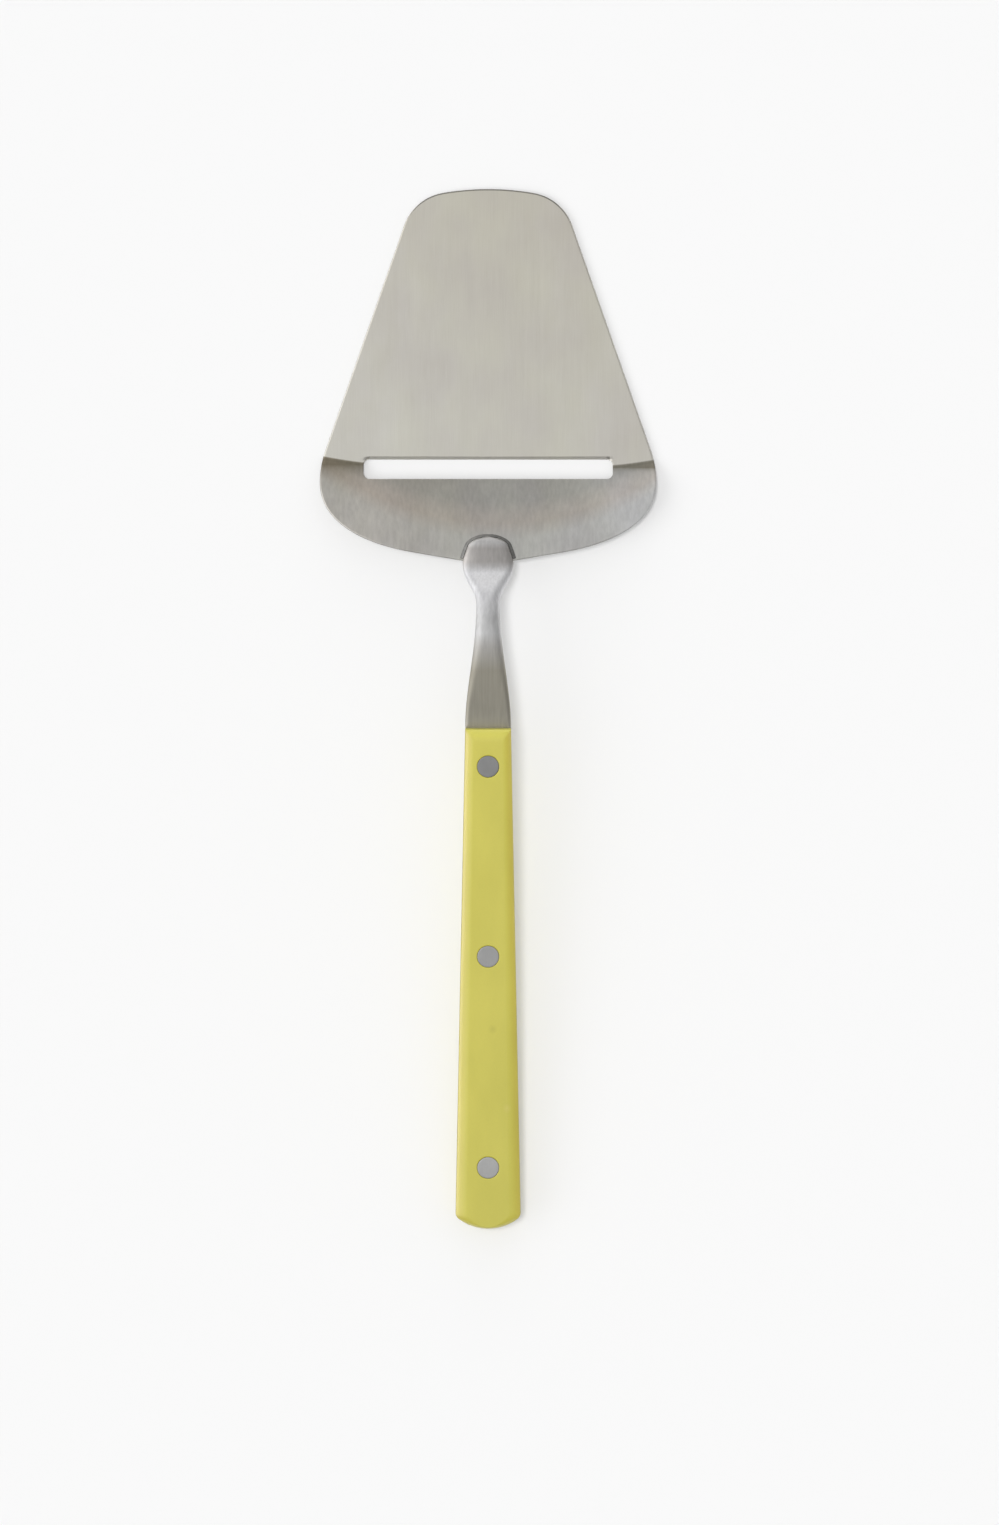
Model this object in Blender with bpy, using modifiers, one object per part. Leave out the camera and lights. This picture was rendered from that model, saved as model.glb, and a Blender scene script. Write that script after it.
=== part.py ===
"""Cheese slicer: a pressed steel blade welded to a forged neck, with a riveted two-scale handle.

Metres, +Z up, +Y towards the blade's tip. The slicer lies as it does on a table: the flat front of
the blade and the butt of the handle touch z = 0, and the origin is under the middle of its length.
"""

import math

import bmesh
import bpy
from mathutils import Vector
from mathutils.geometry import interpolate_bezier

# Blade: a flat front plate, a cutting slot, and a heel that rises behind a crease
SHEET = 0.0012
PLATE_LENGTH = 0.0651
HEEL_LENGTH = 0.0255
BLADE_WIDTH = 0.0810
WIDEST_SETBACK = 0.0056
SIDE_TAPER_DEG = 19.3
TIP_CROWN = 0.0026
TIP_CORNER = 0.0120
LOBE_RADIUS = 0.0240
LOBE_SIDE_PULL = 0.0084
LOBE_REAR_PULL = 0.0150
REAR_STRAIGHT = 0.0180
REAR_SWEEP_DEG = 9.7
CREASE_SETBACK = 0.0012
CREASE_SWEEP = 0.0015
CREASE_SWEEP_POWER = 1.25
HEEL_BEND = 0.0009
HEEL_START_DEG = 24.0
HEEL_END_DEG = 14.0
SLOT_WIDTH = 0.0600
SLOT_GAP = 0.0047
SLOT_CORNER = 0.0014
EDGE_GRIND = 0.0007
EDGE_LAND = 0.0002

# Neck: a spade on the heel, a waist, and an S-bend up to the handle
SPADE_OVERLAP = 0.0062
SPADE_TIP_WIDTH = 0.0078
SPADE_TIP_ROUND = 0.0023
SPADE_WIDTH = 0.0122
SPADE_SIDE_POWER = 1.3
SPADE_THICK = 0.0020
SPADE_ROUND = 0.0006
NECK_SPAN = 0.0390
NECK_TUCK = 0.0090
NECK_WAIST_WIDTH = 0.0058
NECK_WAIST_LENGTH = 0.0023
NECK_THICK = 0.0036
NECK_ROUND = 0.0013
NECK_BEND_RADIUS = 0.0110
NECK_CLIMB_DEG = 40.0
WELD_WIDTH = 0.0008
WELD_HEIGHT = 0.0009
WELD_TOE = 0.0002

# Handle: two scales on a full tang, with its butt resting on the table
HANDLE_RISE = 0.0189
HANDLE_LENGTH = 0.1208
HANDLE_FRONT_WIDTH = 0.0110
HANDLE_BUTT_WIDTH = 0.0158
HANDLE_THICK = 0.0110
TANG_THICK = 0.0030
TANG_ROUND = 0.0002
BUTT_CROWN = 0.0030
BUTT_CORNER = 0.0020
SHOULDER_FRONT = 0.0015
SHOULDER_BUTT = 0.0025
SHOULDER_DROP = 0.0015
SHOULDER_BREAK_DEG = 32.0
SHOULDER_FOOT_DEG = 62.0
FRONT_CHAMFER = 0.0028
BUTT_ROUND = 0.0005

# Rivets: a solid pin from above, pressed into a sleeve from below
FRONT_RIVET_SETBACK = 0.0089
MIDDLE_RIVET_SETBACK = 0.0548
REAR_RIVET_INSET = 0.0149
RIVET_HEAD = 0.0052
RIVET_HEAD_THICK = 0.0014
RIVET_SLEEVE = 0.0034
RIVET_PIN = 0.0022
RIVET_EDGE = 0.0002

# Clearances between pieces that touch, and how far a cutter runs past what it cuts
SEAT = 0.0001
FIT = 0.00005
PIN_END_GAP = 0.0004
OVERSHOOT = 0.0040

# Facets
ARC_STEPS = 6
SECTION_STEPS = 3
TURN_STEPS = 32
SMOOTH_ANGLE = math.radians(32)
ROUND_LIMIT = 0.49

TAPER = math.radians(SIDE_TAPER_DEG)
REAR_SWEEP = math.radians(REAR_SWEEP_DEG)
HEEL_START = math.tan(math.radians(HEEL_START_DEG))
HEEL_END = math.tan(math.radians(HEEL_END_DEG))
NECK_CLIMB = math.radians(NECK_CLIMB_DEG)
SHOULDER_BREAK = math.radians(SHOULDER_BREAK_DEG)
SHOULDER_FOOT = math.radians(SHOULDER_FOOT_DEG)

# The handle falls just enough for the underside of its butt to reach the table
BUTT_REACH = HANDLE_LENGTH - BUTT_ROUND
BUTT_DEPTH = HANDLE_THICK / 2
HANDLE_FALL = math.asin(HANDLE_RISE / math.hypot(BUTT_REACH, BUTT_DEPTH)) - math.atan2(BUTT_DEPTH, BUTT_REACH)

# Stations along the slicer, with its overall length centred on the origin
SHOULDER_START = HANDLE_THICK / 2 - SHOULDER_DROP
HANDLE_RUN = HANDLE_LENGTH * math.cos(HANDLE_FALL) + SHOULDER_START * math.sin(HANDLE_FALL)
TIP_Y = (PLATE_LENGTH + HEEL_LENGTH + NECK_SPAN + HANDLE_RUN) / 2
EDGE_Y = TIP_Y - PLATE_LENGTH
CREASE_Y = EDGE_Y - CREASE_SETBACK
REAR_Y = EDGE_Y - HEEL_LENGTH
HANDLE_Y = REAR_Y - NECK_SPAN
HEEL_RUN = CREASE_Y - REAR_Y

RIVETS = {
    "front": FRONT_RIVET_SETBACK,
    "middle": MIDDLE_RIVET_SETBACK,
    "rear": HANDLE_LENGTH - REAR_RIVET_INSET,
}


def arc(centre, radius, start, end, steps=ARC_STEPS):
    """Points along an arc, with angles measured from +X."""
    angles = [start + (end - start) * i / steps for i in range(steps + 1)]
    return [Vector((centre[0] + radius * math.cos(a), centre[1] + radius * math.sin(a))) for a in angles]


def rounded_end(apex, crown, corner, side_point, lean):
    """Right half of a crowned end: a shallow arc from the apex, then a corner arc on to the straight side."""
    normal = Vector((math.cos(lean), math.sin(lean)))
    half = side_point.x - (apex - crown - side_point.y) * math.tan(lean)
    radius = (half * half + crown * crown) / (2 * crown)
    centre_y = apex - radius
    reach = normal.dot(side_point) - corner - normal.y * centre_y
    turn = math.asin(reach / (radius - corner)) - lean
    corner_centre = ((radius - corner) * math.sin(turn), centre_y + (radius - corner) * math.cos(turn))
    end_arc = arc((0, centre_y), radius, math.pi / 2, math.pi / 2 - turn)
    return end_arc + arc(corner_centre, corner, math.pi / 2 - turn, lean)[1:]


def mirrored(half):
    """A closed outline from its right half, listed from the centreline at one end to the other end."""
    left = [Vector((-point.x, point.y)) for point in reversed(half) if point.x > FIT]
    return half + left


def blade_outline():
    half_width = BLADE_WIDTH / 2
    widest_y = EDGE_Y - WIDEST_SETBACK
    lobe_centre = (half_width - LOBE_RADIUS, widest_y)
    lobe_front = arc(lobe_centre, LOBE_RADIUS, TAPER, 0)
    tip = rounded_end(TIP_Y, TIP_CROWN, TIP_CORNER, lobe_front[0], TAPER)
    along_rear = Vector((math.cos(REAR_SWEEP), math.sin(REAR_SWEEP)))
    rear = Vector((0, REAR_Y)) + along_rear * REAR_STRAIGHT
    widest = Vector((half_width, widest_y))
    lobe_rear = interpolate_bezier(
        widest,
        widest - Vector((0, LOBE_SIDE_PULL)),
        rear + along_rear * LOBE_REAR_PULL,
        rear,
        2 * ARC_STEPS,
    )
    return mirrored(tip + lobe_front + [Vector(point[:2]) for point in lobe_rear[1:]] + [Vector((0, REAR_Y))])


def slot_outline():
    half_width = SLOT_WIDTH / 2 - SLOT_CORNER
    front = EDGE_Y - SLOT_CORNER
    back = EDGE_Y - SLOT_GAP + SLOT_CORNER
    corners = [(half_width, front), (-half_width, front), (-half_width, back), (half_width, back)]
    quarter = math.pi / 2
    return [p for i, c in enumerate(corners) for p in arc(c, SLOT_CORNER, i * quarter, (i + 1) * quarter)]


def handle_half_width(distance):
    """Half the handle's width at a distance behind its front face."""
    return (HANDLE_FRONT_WIDTH + (HANDLE_BUTT_WIDTH - HANDLE_FRONT_WIDTH) * distance / HANDLE_LENGTH) / 2


def handle_half_outline():
    """(half width, distance behind the front face) from the butt's apex to the front face."""
    front = Vector((HANDLE_FRONT_WIDTH / 2, 0))
    lean = -math.atan((HANDLE_BUTT_WIDTH - HANDLE_FRONT_WIDTH) / 2 / HANDLE_LENGTH)
    return rounded_end(HANDLE_LENGTH, BUTT_CROWN, BUTT_CORNER, front, lean) + [front]


def heel_rise(run):
    """Height of the sheet's underside at a distance behind the crease."""
    if run <= 0:
        return 0.0
    if run < HEEL_BEND:
        return HEEL_START * run * run / (2 * HEEL_BEND)
    past = run - HEEL_BEND
    easing = (HEEL_START - HEEL_END) / (2 * (HEEL_RUN - HEEL_BEND))
    return HEEL_START * (HEEL_BEND / 2 + past) - easing * past * past


def heel_pitch(run):
    """Angle at which the heel rises, at a distance behind the crease."""
    past = run - HEEL_BEND
    return math.atan(HEEL_START - (HEEL_START - HEEL_END) * past / (HEEL_RUN - HEEL_BEND))


def on_heel(x, run, height):
    """A point at a height above the heel's upper face, square to it."""
    pitch = heel_pitch(run)
    lift = SHEET + height
    return Vector((x, CREASE_Y - run + lift * math.sin(pitch), heel_rise(run) + lift * math.cos(pitch)))


def smooth_step(start, end, part):
    part = min(max(part, 0.0), 1.0)
    return start + (end - start) * part * part * (3 - 2 * part)


def end_round(distance, length):
    """How full a rounded end is, as a share of its full size, at a distance from it."""
    short = max(1 - distance / length, 0.0)
    return math.sqrt(1 - short * short)


def spade_stations():
    """Distances from the spade's tip to the heel's rear edge, close together round the tip."""
    rounded = [SPADE_TIP_ROUND * (1 - math.cos(math.pi / 2 * i / ARC_STEPS)) for i in range(1, ARC_STEPS)]
    length = SPADE_OVERLAP - SPADE_TIP_ROUND
    return rounded + [SPADE_TIP_ROUND + length * i / ARC_STEPS for i in range(ARC_STEPS + 1)]


def spade_half_width(distance):
    """Half width of the spade at a distance from its tip."""
    towards_tip = max(1 - distance / SPADE_OVERLAP, 0.0)
    width = SPADE_WIDTH + (SPADE_TIP_WIDTH - SPADE_WIDTH) * towards_tip**SPADE_SIDE_POWER
    return width / 2 * end_round(distance, SPADE_TIP_ROUND)


def neck_size(y):
    """(half width, thickness, edge round) of the neck between the heel's rear edge and the handle."""
    tucked = (REAR_Y - y) / NECK_TUCK
    if tucked < 1:
        return (
            smooth_step(SPADE_WIDTH, NECK_WAIST_WIDTH, tucked) / 2,
            smooth_step(SPADE_THICK, NECK_THICK, tucked),
            smooth_step(SPADE_ROUND, NECK_ROUND, tucked),
        )
    flare_y = REAR_Y - NECK_TUCK - NECK_WAIST_LENGTH
    flared = (flare_y - y) / (flare_y - HANDLE_Y)
    return (
        smooth_step(NECK_WAIST_WIDTH, HANDLE_FRONT_WIDTH, flared) / 2,
        smooth_step(NECK_THICK, TANG_THICK, flared),
        smooth_step(NECK_ROUND, TANG_ROUND, flared),
    )


def neck_section(centre, pitch, half_width, thickness, edge_round):
    """A rounded rectangle square to the neck's path, which climbs at this pitch towards the handle."""
    edge_round = min(edge_round, ROUND_LIMIT * thickness, ROUND_LIMIT * 2 * half_width)
    across = half_width - edge_round
    up = thickness / 2 - edge_round
    quarter = math.pi / 2
    ring = []
    for i, corner in enumerate([(across, up), (-across, up), (-across, -up), (across, -up)]):
        for x, h in arc(corner, edge_round, i * quarter, (i + 1) * quarter, SECTION_STEPS):
            ring.append(centre + Vector((x, h * math.sin(pitch), h * math.cos(pitch))))
    return ring


def spade_sections():
    """The spade's rings, seated on the heel, from its rounded tip to the heel's rear edge."""
    tip_run = HEEL_RUN - SPADE_OVERLAP
    rings = []
    for distance in spade_stations():
        run = tip_run + distance
        centre = on_heel(0, run, SEAT + SPADE_THICK / 2)
        thickness = SPADE_THICK - 2 * SPADE_ROUND * (1 - end_round(distance, SPADE_ROUND))
        half_width = spade_half_width(distance)
        rings.append(neck_section(centre, heel_pitch(run), half_width, thickness, SPADE_ROUND))
    return rings


def neck_path():
    """(point, pitch) pairs from the heel's rear edge, up the bend and over to the handle's front face."""
    start_pitch = heel_pitch(HEEL_RUN)
    start = on_heel(0, HEEL_RUN, SEAT + SPADE_THICK / 2)
    path = []
    for i in range(1, ARC_STEPS + 1):
        pitch = start_pitch + (NECK_CLIMB - start_pitch) * i / ARC_STEPS
        forward = NECK_BEND_RADIUS * (math.sin(pitch) - math.sin(start_pitch))
        climb = NECK_BEND_RADIUS * (math.cos(start_pitch) - math.cos(pitch))
        path.append((start + Vector((0, -forward, climb)), pitch))
    bend_end = path[-1][0]
    handle_front = Vector((0, HANDLE_Y, HANDLE_RISE))
    pull = (bend_end - handle_front).length / 3
    curve = interpolate_bezier(
        bend_end,
        bend_end + pull * Vector((0, -math.cos(NECK_CLIMB), math.sin(NECK_CLIMB))),
        handle_front + pull * Vector((0, math.cos(HANDLE_FALL), math.sin(HANDLE_FALL))),
        handle_front,
        3 * ARC_STEPS,
    )
    for before, point, after in zip(curve, curve[1:], curve[2:]):
        path.append((point, math.atan2(after.z - before.z, before.y - after.y)))
    return path


def tang_sections():
    """The tang's rings, from the handle's front face to the last pair of points on the butt's arc."""
    rings = []
    for half_width, distance in reversed(handle_half_outline()[1:]):
        centre = Vector((0, -distance * math.cos(HANDLE_FALL), -distance * math.sin(HANDLE_FALL)))
        centre += Vector((0, HANDLE_Y, HANDLE_RISE))
        rings.append(neck_section(centre, -HANDLE_FALL, half_width, TANG_THICK, TANG_ROUND))
    return rings


def weld_sections():
    """Rings of the bead that follows the spade's edge, from the rear edge on one side round to the other."""
    tip_run = HEEL_RUN - SPADE_OVERLAP
    end = SPADE_OVERLAP - (SPADE_WIDTH / 2 + WELD_WIDTH) * math.tan(REAR_SWEEP)
    stations = [distance for distance in spade_stations() if distance < end] + [end]
    right = [Vector((spade_half_width(distance), -tip_run - distance)) for distance in reversed(stations)]
    left = [Vector((-point.x, point.y)) for point in reversed(right)]
    path = right + left
    profile = [(0, 0), (WELD_WIDTH, 0), (WELD_WIDTH, WELD_TOE), (0, WELD_HEIGHT)]
    rings = []
    for i, point in enumerate(path):
        incoming = (point - path[max(i - 1, 0)]).normalized()
        outgoing = (path[min(i + 1, len(path) - 1)] - point).normalized()
        along = (incoming + outgoing).normalized()
        outward = Vector((along.y, -along.x))
        mitre = 1 / max(along.dot(outgoing), along.dot(incoming))
        ring = []
        for offset, height in profile:
            spot = point + outward * (SEAT + offset) * mitre
            ring.append(on_heel(spot.x, -spot.y, SEAT + height))
        rings.append(ring)
    return rings


def shoulder_levels():
    """(inset as a share of the shoulder's width, height) up a shoulder with a break at each end."""
    width = math.sin(SHOULDER_FOOT) - math.sin(SHOULDER_BREAK)
    drop = math.cos(SHOULDER_BREAK) - math.cos(SHOULDER_FOOT)
    levels = []
    for i in range(ARC_STEPS + 1):
        turn = SHOULDER_FOOT + (SHOULDER_BREAK - SHOULDER_FOOT) * i / ARC_STEPS
        inset = (math.sin(SHOULDER_FOOT) - math.sin(turn)) / width
        climb = (math.cos(turn) - math.cos(SHOULDER_FOOT)) / drop
        levels.append((inset, SHOULDER_START + SHOULDER_DROP * climb))
    return levels


def scale_sections():
    """Plan outlines of a handle scale, stacked from the tang's face up over its shoulder."""
    outline = mirrored(handle_half_outline())
    rings = []
    for inset, height in [(0.0, TANG_THICK / 2 + SEAT)] + shoulder_levels():
        front = FRONT_CHAMFER * inset
        length = HANDLE_LENGTH - front - BUTT_ROUND * inset
        ring = []
        for x, distance in outline:
            part = distance / HANDLE_LENGTH
            shoulder = SHOULDER_FRONT + (SHOULDER_BUTT - SHOULDER_FRONT) * part
            narrowed = 1 - inset * shoulder / handle_half_width(distance)
            ring.append(Vector((x * narrowed, -front - part * length, height)))
        rings.append(ring)
    return rings


def principled(name, colour, roughness, metallic):
    material = bpy.data.materials.new(name)
    material.use_nodes = True
    shader = material.node_tree.nodes["Principled BSDF"]
    shader.inputs["Base Color"].default_value = (*colour, 1)
    shader.inputs["Roughness"].default_value = roughness
    shader.inputs["Metallic"].default_value = metallic
    material.diffuse_color = (*colour, 1)
    return material


def add_object(name, mesh, collection, material=None, parent=None):
    piece = bpy.data.objects.new(name, mesh)
    collection.objects.link(piece)
    piece.parent = parent
    if material:
        mesh.materials.append(material)
        mesh.shade_smooth()
        mesh.set_sharp_from_angle(angle=SMOOTH_ANGLE)
    return piece


def as_cutter(piece):
    piece.hide_render = True
    piece.display_type = "WIRE"
    return piece


def mesh_from(name, shape):
    """A mesh from a bmesh, with its faces turned outwards."""
    bmesh.ops.recalc_face_normals(shape, faces=shape.faces)
    mesh = bpy.data.meshes.new(name)
    shape.to_mesh(mesh)
    shape.free()
    return mesh


def loft(name, rings):
    """A closed skin through rings of equally many points, capped at both ends."""
    shape = bmesh.new()
    rows = [[shape.verts.new(point) for point in ring] for ring in rings]
    for lower, upper in zip(rows, rows[1:]):
        for i in range(len(lower)):
            j = (i + 1) % len(lower)
            shape.faces.new((lower[i], lower[j], upper[j], upper[i]))
    shape.faces.new(rows[0])
    shape.faces.new(rows[-1])
    return mesh_from(name, shape)


def prism(name, outline, bottom, top):
    """A flat outline extruded between two heights, as a welded mesh."""
    curve = bpy.data.curves.new(name, "CURVE")
    curve.dimensions = "2D"
    curve.fill_mode = "BOTH"
    curve.extrude = (top - bottom) / 2
    spline = curve.splines.new("POLY")
    spline.points.add(len(outline) - 1)
    for point, spot in zip(spline.points, outline):
        point.co = (spot.x, spot.y, 0, 1)
    spline.use_cyclic_u = True
    flat = bpy.data.objects.new(name, curve)
    bpy.context.scene.collection.objects.link(flat)
    bpy.context.view_layer.update()
    extruded = bpy.data.meshes.new_from_object(flat.evaluated_get(bpy.context.evaluated_depsgraph_get()))
    bpy.data.objects.remove(flat)
    shape = bmesh.new()
    shape.from_mesh(extruded)
    bmesh.ops.remove_doubles(shape, verts=shape.verts, dist=FIT / 10)
    bmesh.ops.translate(shape, verts=shape.verts, vec=(0, 0, (top + bottom) / 2))
    return mesh_from(name, shape)


def turned(name, profile, collection, material=None, parent=None):
    """A profile of (radius, height) points, turned about the Z axis with a Screw modifier."""
    shape = bmesh.new()
    points = [shape.verts.new((radius, 0, height)) for radius, height in profile]
    for start, end in zip(points, points[1:]):
        shape.edges.new((start, end))
    mesh = bpy.data.meshes.new(name)
    shape.to_mesh(mesh)
    shape.free()
    piece = add_object(name, mesh, collection, material, parent)
    screw = piece.modifiers.new("Turn", "SCREW")
    screw.steps = TURN_STEPS
    screw.render_steps = TURN_STEPS
    screw.use_merge_vertices = True
    screw.merge_threshold = FIT / 10
    return piece


def boolean(piece, operation, other):
    modifier = piece.modifiers.new(other.name, "BOOLEAN")
    modifier.operation = operation
    modifier.solver = "EXACT"
    modifier.object = other


def pressed_sheet():
    """The sheet's underside, wider than the blade, bent up behind the crease that sweeps out to its edges."""
    slot_half = SLOT_WIDTH / 2
    margin = BLADE_WIDTH / 2 - slot_half
    outer = [slot_half + margin * i / 3 for i in range(5)]
    columns = [-x for x in reversed(outer)] + outer
    bend_rows = [HEEL_BEND * i / ARC_STEPS for i in range(ARC_STEPS)]
    heel_rows = [HEEL_BEND + (HEEL_RUN + OVERSHOOT - HEEL_BEND) * i / ARC_STEPS for i in range(ARC_STEPS + 1)]
    rows = [-PLATE_LENGTH - CREASE_SETBACK - OVERSHOOT] + bend_rows + heel_rows
    shape = bmesh.new()
    bmesh.ops.create_grid(shape, x_segments=len(columns) - 1, y_segments=len(rows) - 1, size=1)
    for vert in shape.verts:
        column = round((vert.co.x + 1) / 2 * (len(columns) - 1))
        row = round((1 - vert.co.y) / 2 * (len(rows) - 1))
        x = columns[column]
        run = rows[row]
        swept = CREASE_SWEEP * (max(abs(x) - slot_half, 0.0) / margin) ** CREASE_SWEEP_POWER
        vert.co = (x, CREASE_Y + swept - run, heel_rise(run))
    mesh = bpy.data.meshes.new("blade")
    shape.to_mesh(mesh)
    shape.free()
    return mesh


def grind_wedge():
    """A wedge that grinds the slot's front edge from above, down to a thin land."""
    half_width = SLOT_WIDTH / 2 - SLOT_CORNER
    edge = Vector((0, EDGE_Y, EDGE_LAND))
    slope = Vector((0, EDGE_GRIND, SHEET - EDGE_LAND))
    low = edge - slope / 2
    high = edge + slope * 1.5
    triangle = [low, high, Vector((0, low.y, high.z))]
    ends = [Vector((-half_width, 0, 0)), Vector((half_width, 0, 0))]
    return loft("edge_grind", [[point + end for point in triangle] for end in ends])


def make_blade(parts, cutters, material):
    blade = add_object("blade", pressed_sheet(), parts, material)
    solidify = blade.modifiers.new("Sheet", "SOLIDIFY")
    solidify.thickness = SHEET
    solidify.offset = 1
    solidify.use_even_offset = True
    top = heel_rise(HEEL_RUN + OVERSHOOT) + SHEET + OVERSHOOT
    outline = prism("blade_outline", blade_outline(), -OVERSHOOT, top)
    slot = prism("slot_punch", slot_outline(), -OVERSHOOT, top)
    for operation, mesh in (("INTERSECT", outline), ("DIFFERENCE", slot), ("DIFFERENCE", grind_wedge())):
        boolean(blade, operation, as_cutter(add_object(mesh.name, mesh, cutters)))


def make_neck(parts, material, rivet_holes):
    neck_sections = [neck_section(point, pitch, *neck_size(point.y)) for point, pitch in neck_path()]
    rings = spade_sections() + neck_sections + tang_sections()
    neck = add_object("neck_tang", loft("neck_tang", rings), parts, material)
    for hole in rivet_holes:
        boolean(neck, "DIFFERENCE", hole)
    add_object("neck_weld", loft("neck_weld", weld_sections()), parts, material)


def make_scales(parts, material, frame, rivet_holes):
    for name, turn in (("upper_scale", 0), ("lower_scale", math.pi)):
        scale = add_object(name, loft(name, scale_sections()), parts, material, frame)
        scale.rotation_euler.y = turn
        for hole in rivet_holes:
            boolean(scale, "DIFFERENCE", hole)


def rivet_hole(name, cutters, frame):
    """The stepped hole for one rivet: a head recess in each scale and a sleeve hole right through."""
    head = RIVET_HEAD / 2 + FIT
    sleeve = RIVET_SLEEVE / 2 + FIT
    recess = HANDLE_THICK / 2 - RIVET_HEAD_THICK - SEAT
    past = HANDLE_THICK / 2 + OVERSHOOT
    profile = [(0, past), (head, past), (head, recess), (sleeve, recess)]
    profile += [(radius, -height) for radius, height in reversed(profile)]
    return as_cutter(turned(name, profile, cutters, parent=frame))


def rivet_pin(name, parts, material, frame):
    top = HANDLE_THICK / 2
    head = RIVET_HEAD / 2
    pin = RIVET_PIN / 2
    end = -HANDLE_THICK / 2 + RIVET_HEAD_THICK + PIN_END_GAP
    profile = [
        (0, top),
        (head - RIVET_EDGE, top),
        (head, top - RIVET_EDGE),
        (head, top - RIVET_HEAD_THICK),
        (pin, top - RIVET_HEAD_THICK),
        (pin, end + RIVET_EDGE),
        (pin - RIVET_EDGE, end),
        (0, end),
    ]
    return turned(name, profile, parts, material, frame)


def rivet_sleeve(name, parts, material, frame):
    bottom = -HANDLE_THICK / 2
    head = RIVET_HEAD / 2
    sleeve = RIVET_SLEEVE / 2
    bore = RIVET_PIN / 2 + FIT
    rim = HANDLE_THICK / 2 - RIVET_HEAD_THICK - SEAT
    profile = [
        (0, bottom + RIVET_HEAD_THICK),
        (bore, bottom + RIVET_HEAD_THICK),
        (bore, rim),
        (sleeve, rim),
        (sleeve, bottom + RIVET_HEAD_THICK),
        (head, bottom + RIVET_HEAD_THICK),
        (head, bottom + RIVET_EDGE),
        (head - RIVET_EDGE, bottom),
        (0, bottom),
    ]
    return turned(name, profile, parts, material, frame)


def main():
    for old in list(bpy.data.objects):
        bpy.data.objects.remove(old)
    parts = bpy.data.collections.new("cheese_slicer")
    cutters = bpy.data.collections.new("cutters")
    bpy.context.scene.collection.children.link(parts)
    bpy.context.scene.collection.children.link(cutters)

    blade_steel = principled("blade_steel", (0.53, 0.52, 0.48), 0.36, 1.0)
    neck_steel = principled("neck_steel", (0.50, 0.49, 0.47), 0.32, 1.0)
    yellow_plastic = principled("yellow_plastic", (0.60, 0.55, 0.12), 0.42, 0.0)
    rivet_metal = principled("rivet_metal", (0.36, 0.36, 0.36), 0.45, 1.0)

    frame = bpy.data.objects.new("handle_frame", None)
    parts.objects.link(frame)
    frame.location = (0, HANDLE_Y, HANDLE_RISE)
    frame.rotation_euler.x = HANDLE_FALL

    holes = []
    for place, distance in RIVETS.items():
        pieces = (
            rivet_pin(f"{place}_rivet_pin", parts, rivet_metal, frame),
            rivet_sleeve(f"{place}_rivet_sleeve", parts, rivet_metal, frame),
            rivet_hole(f"{place}_rivet_hole", cutters, frame),
        )
        for piece in pieces:
            piece.location.y = -distance
        holes.append(pieces[-1])

    make_blade(parts, cutters, blade_steel)
    make_neck(parts, neck_steel, holes)
    make_scales(parts, yellow_plastic, frame, holes)


main()
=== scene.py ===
"""Looks of the cheese slicer: a brushed blade, a forged neck, a weld bead, yellow scales and rivets.

Metres, +Z up, +Y towards the blade's tip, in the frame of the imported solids.
"""

import math

import bmesh
import bpy
from mathutils import Matrix, Vector
from mathutils.geometry import interpolate_bezier


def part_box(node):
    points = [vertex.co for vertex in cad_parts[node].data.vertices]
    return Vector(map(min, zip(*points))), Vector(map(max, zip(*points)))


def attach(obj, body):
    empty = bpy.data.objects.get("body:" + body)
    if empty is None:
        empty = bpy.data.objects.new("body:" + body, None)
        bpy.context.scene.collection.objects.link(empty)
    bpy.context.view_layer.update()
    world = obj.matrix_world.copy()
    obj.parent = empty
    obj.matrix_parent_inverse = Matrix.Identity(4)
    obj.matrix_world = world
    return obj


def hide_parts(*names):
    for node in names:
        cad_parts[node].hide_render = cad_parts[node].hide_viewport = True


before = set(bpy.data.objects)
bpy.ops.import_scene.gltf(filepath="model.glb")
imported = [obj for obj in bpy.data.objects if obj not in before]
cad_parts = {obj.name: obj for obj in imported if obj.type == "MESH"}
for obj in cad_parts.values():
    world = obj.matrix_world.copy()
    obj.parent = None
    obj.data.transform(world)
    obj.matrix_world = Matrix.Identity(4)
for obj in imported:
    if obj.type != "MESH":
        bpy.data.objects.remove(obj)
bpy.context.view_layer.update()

# Blade: its tip, rear edge and widest point are read from the frame
BLADE_LOW, BLADE_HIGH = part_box("blade")
TIP_Y = BLADE_HIGH.y
REAR_Y = BLADE_LOW.y
HALF_BLADE = BLADE_HIGH.x
SHEET = 0.0012
PLATE_LENGTH = 0.0651
WIDEST_SETBACK = 0.0056
TAPER = math.radians(19.3)
TIP_CROWN = 0.0026
TIP_CORNER = 0.0120
LOBE_RADIUS = 0.0240
LOBE_SIDE_PULL = 0.0084
LOBE_REAR_PULL = 0.0150
REAR_STRAIGHT = 0.0180
REAR_SWEEP = math.radians(9.7)
CREASE_SETBACK = 0.0012
CREASE_SWEEP = 0.0015
CREASE_SWEEP_POWER = 1.25
CREASE_SKEW = 0.011
HEEL_BEND = 0.0009
HEEL_START = math.tan(math.radians(24))
HEEL_END = math.tan(math.radians(14))
SLOT_WIDTH = 0.0600
SLOT_GAP = 0.0047
SLOT_CORNER = 0.0014
EDGE_GRIND = 0.0007
EDGE_LAND = 0.0002
GRIND_RUNOUT = 1.0
SLOT_EDGE = 0.00016
RIM_EDGE = 0.0004
EDGE_Y = TIP_Y - PLATE_LENGTH
CREASE_Y = EDGE_Y - CREASE_SETBACK
HEEL_RUN = CREASE_Y - REAR_Y

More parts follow.
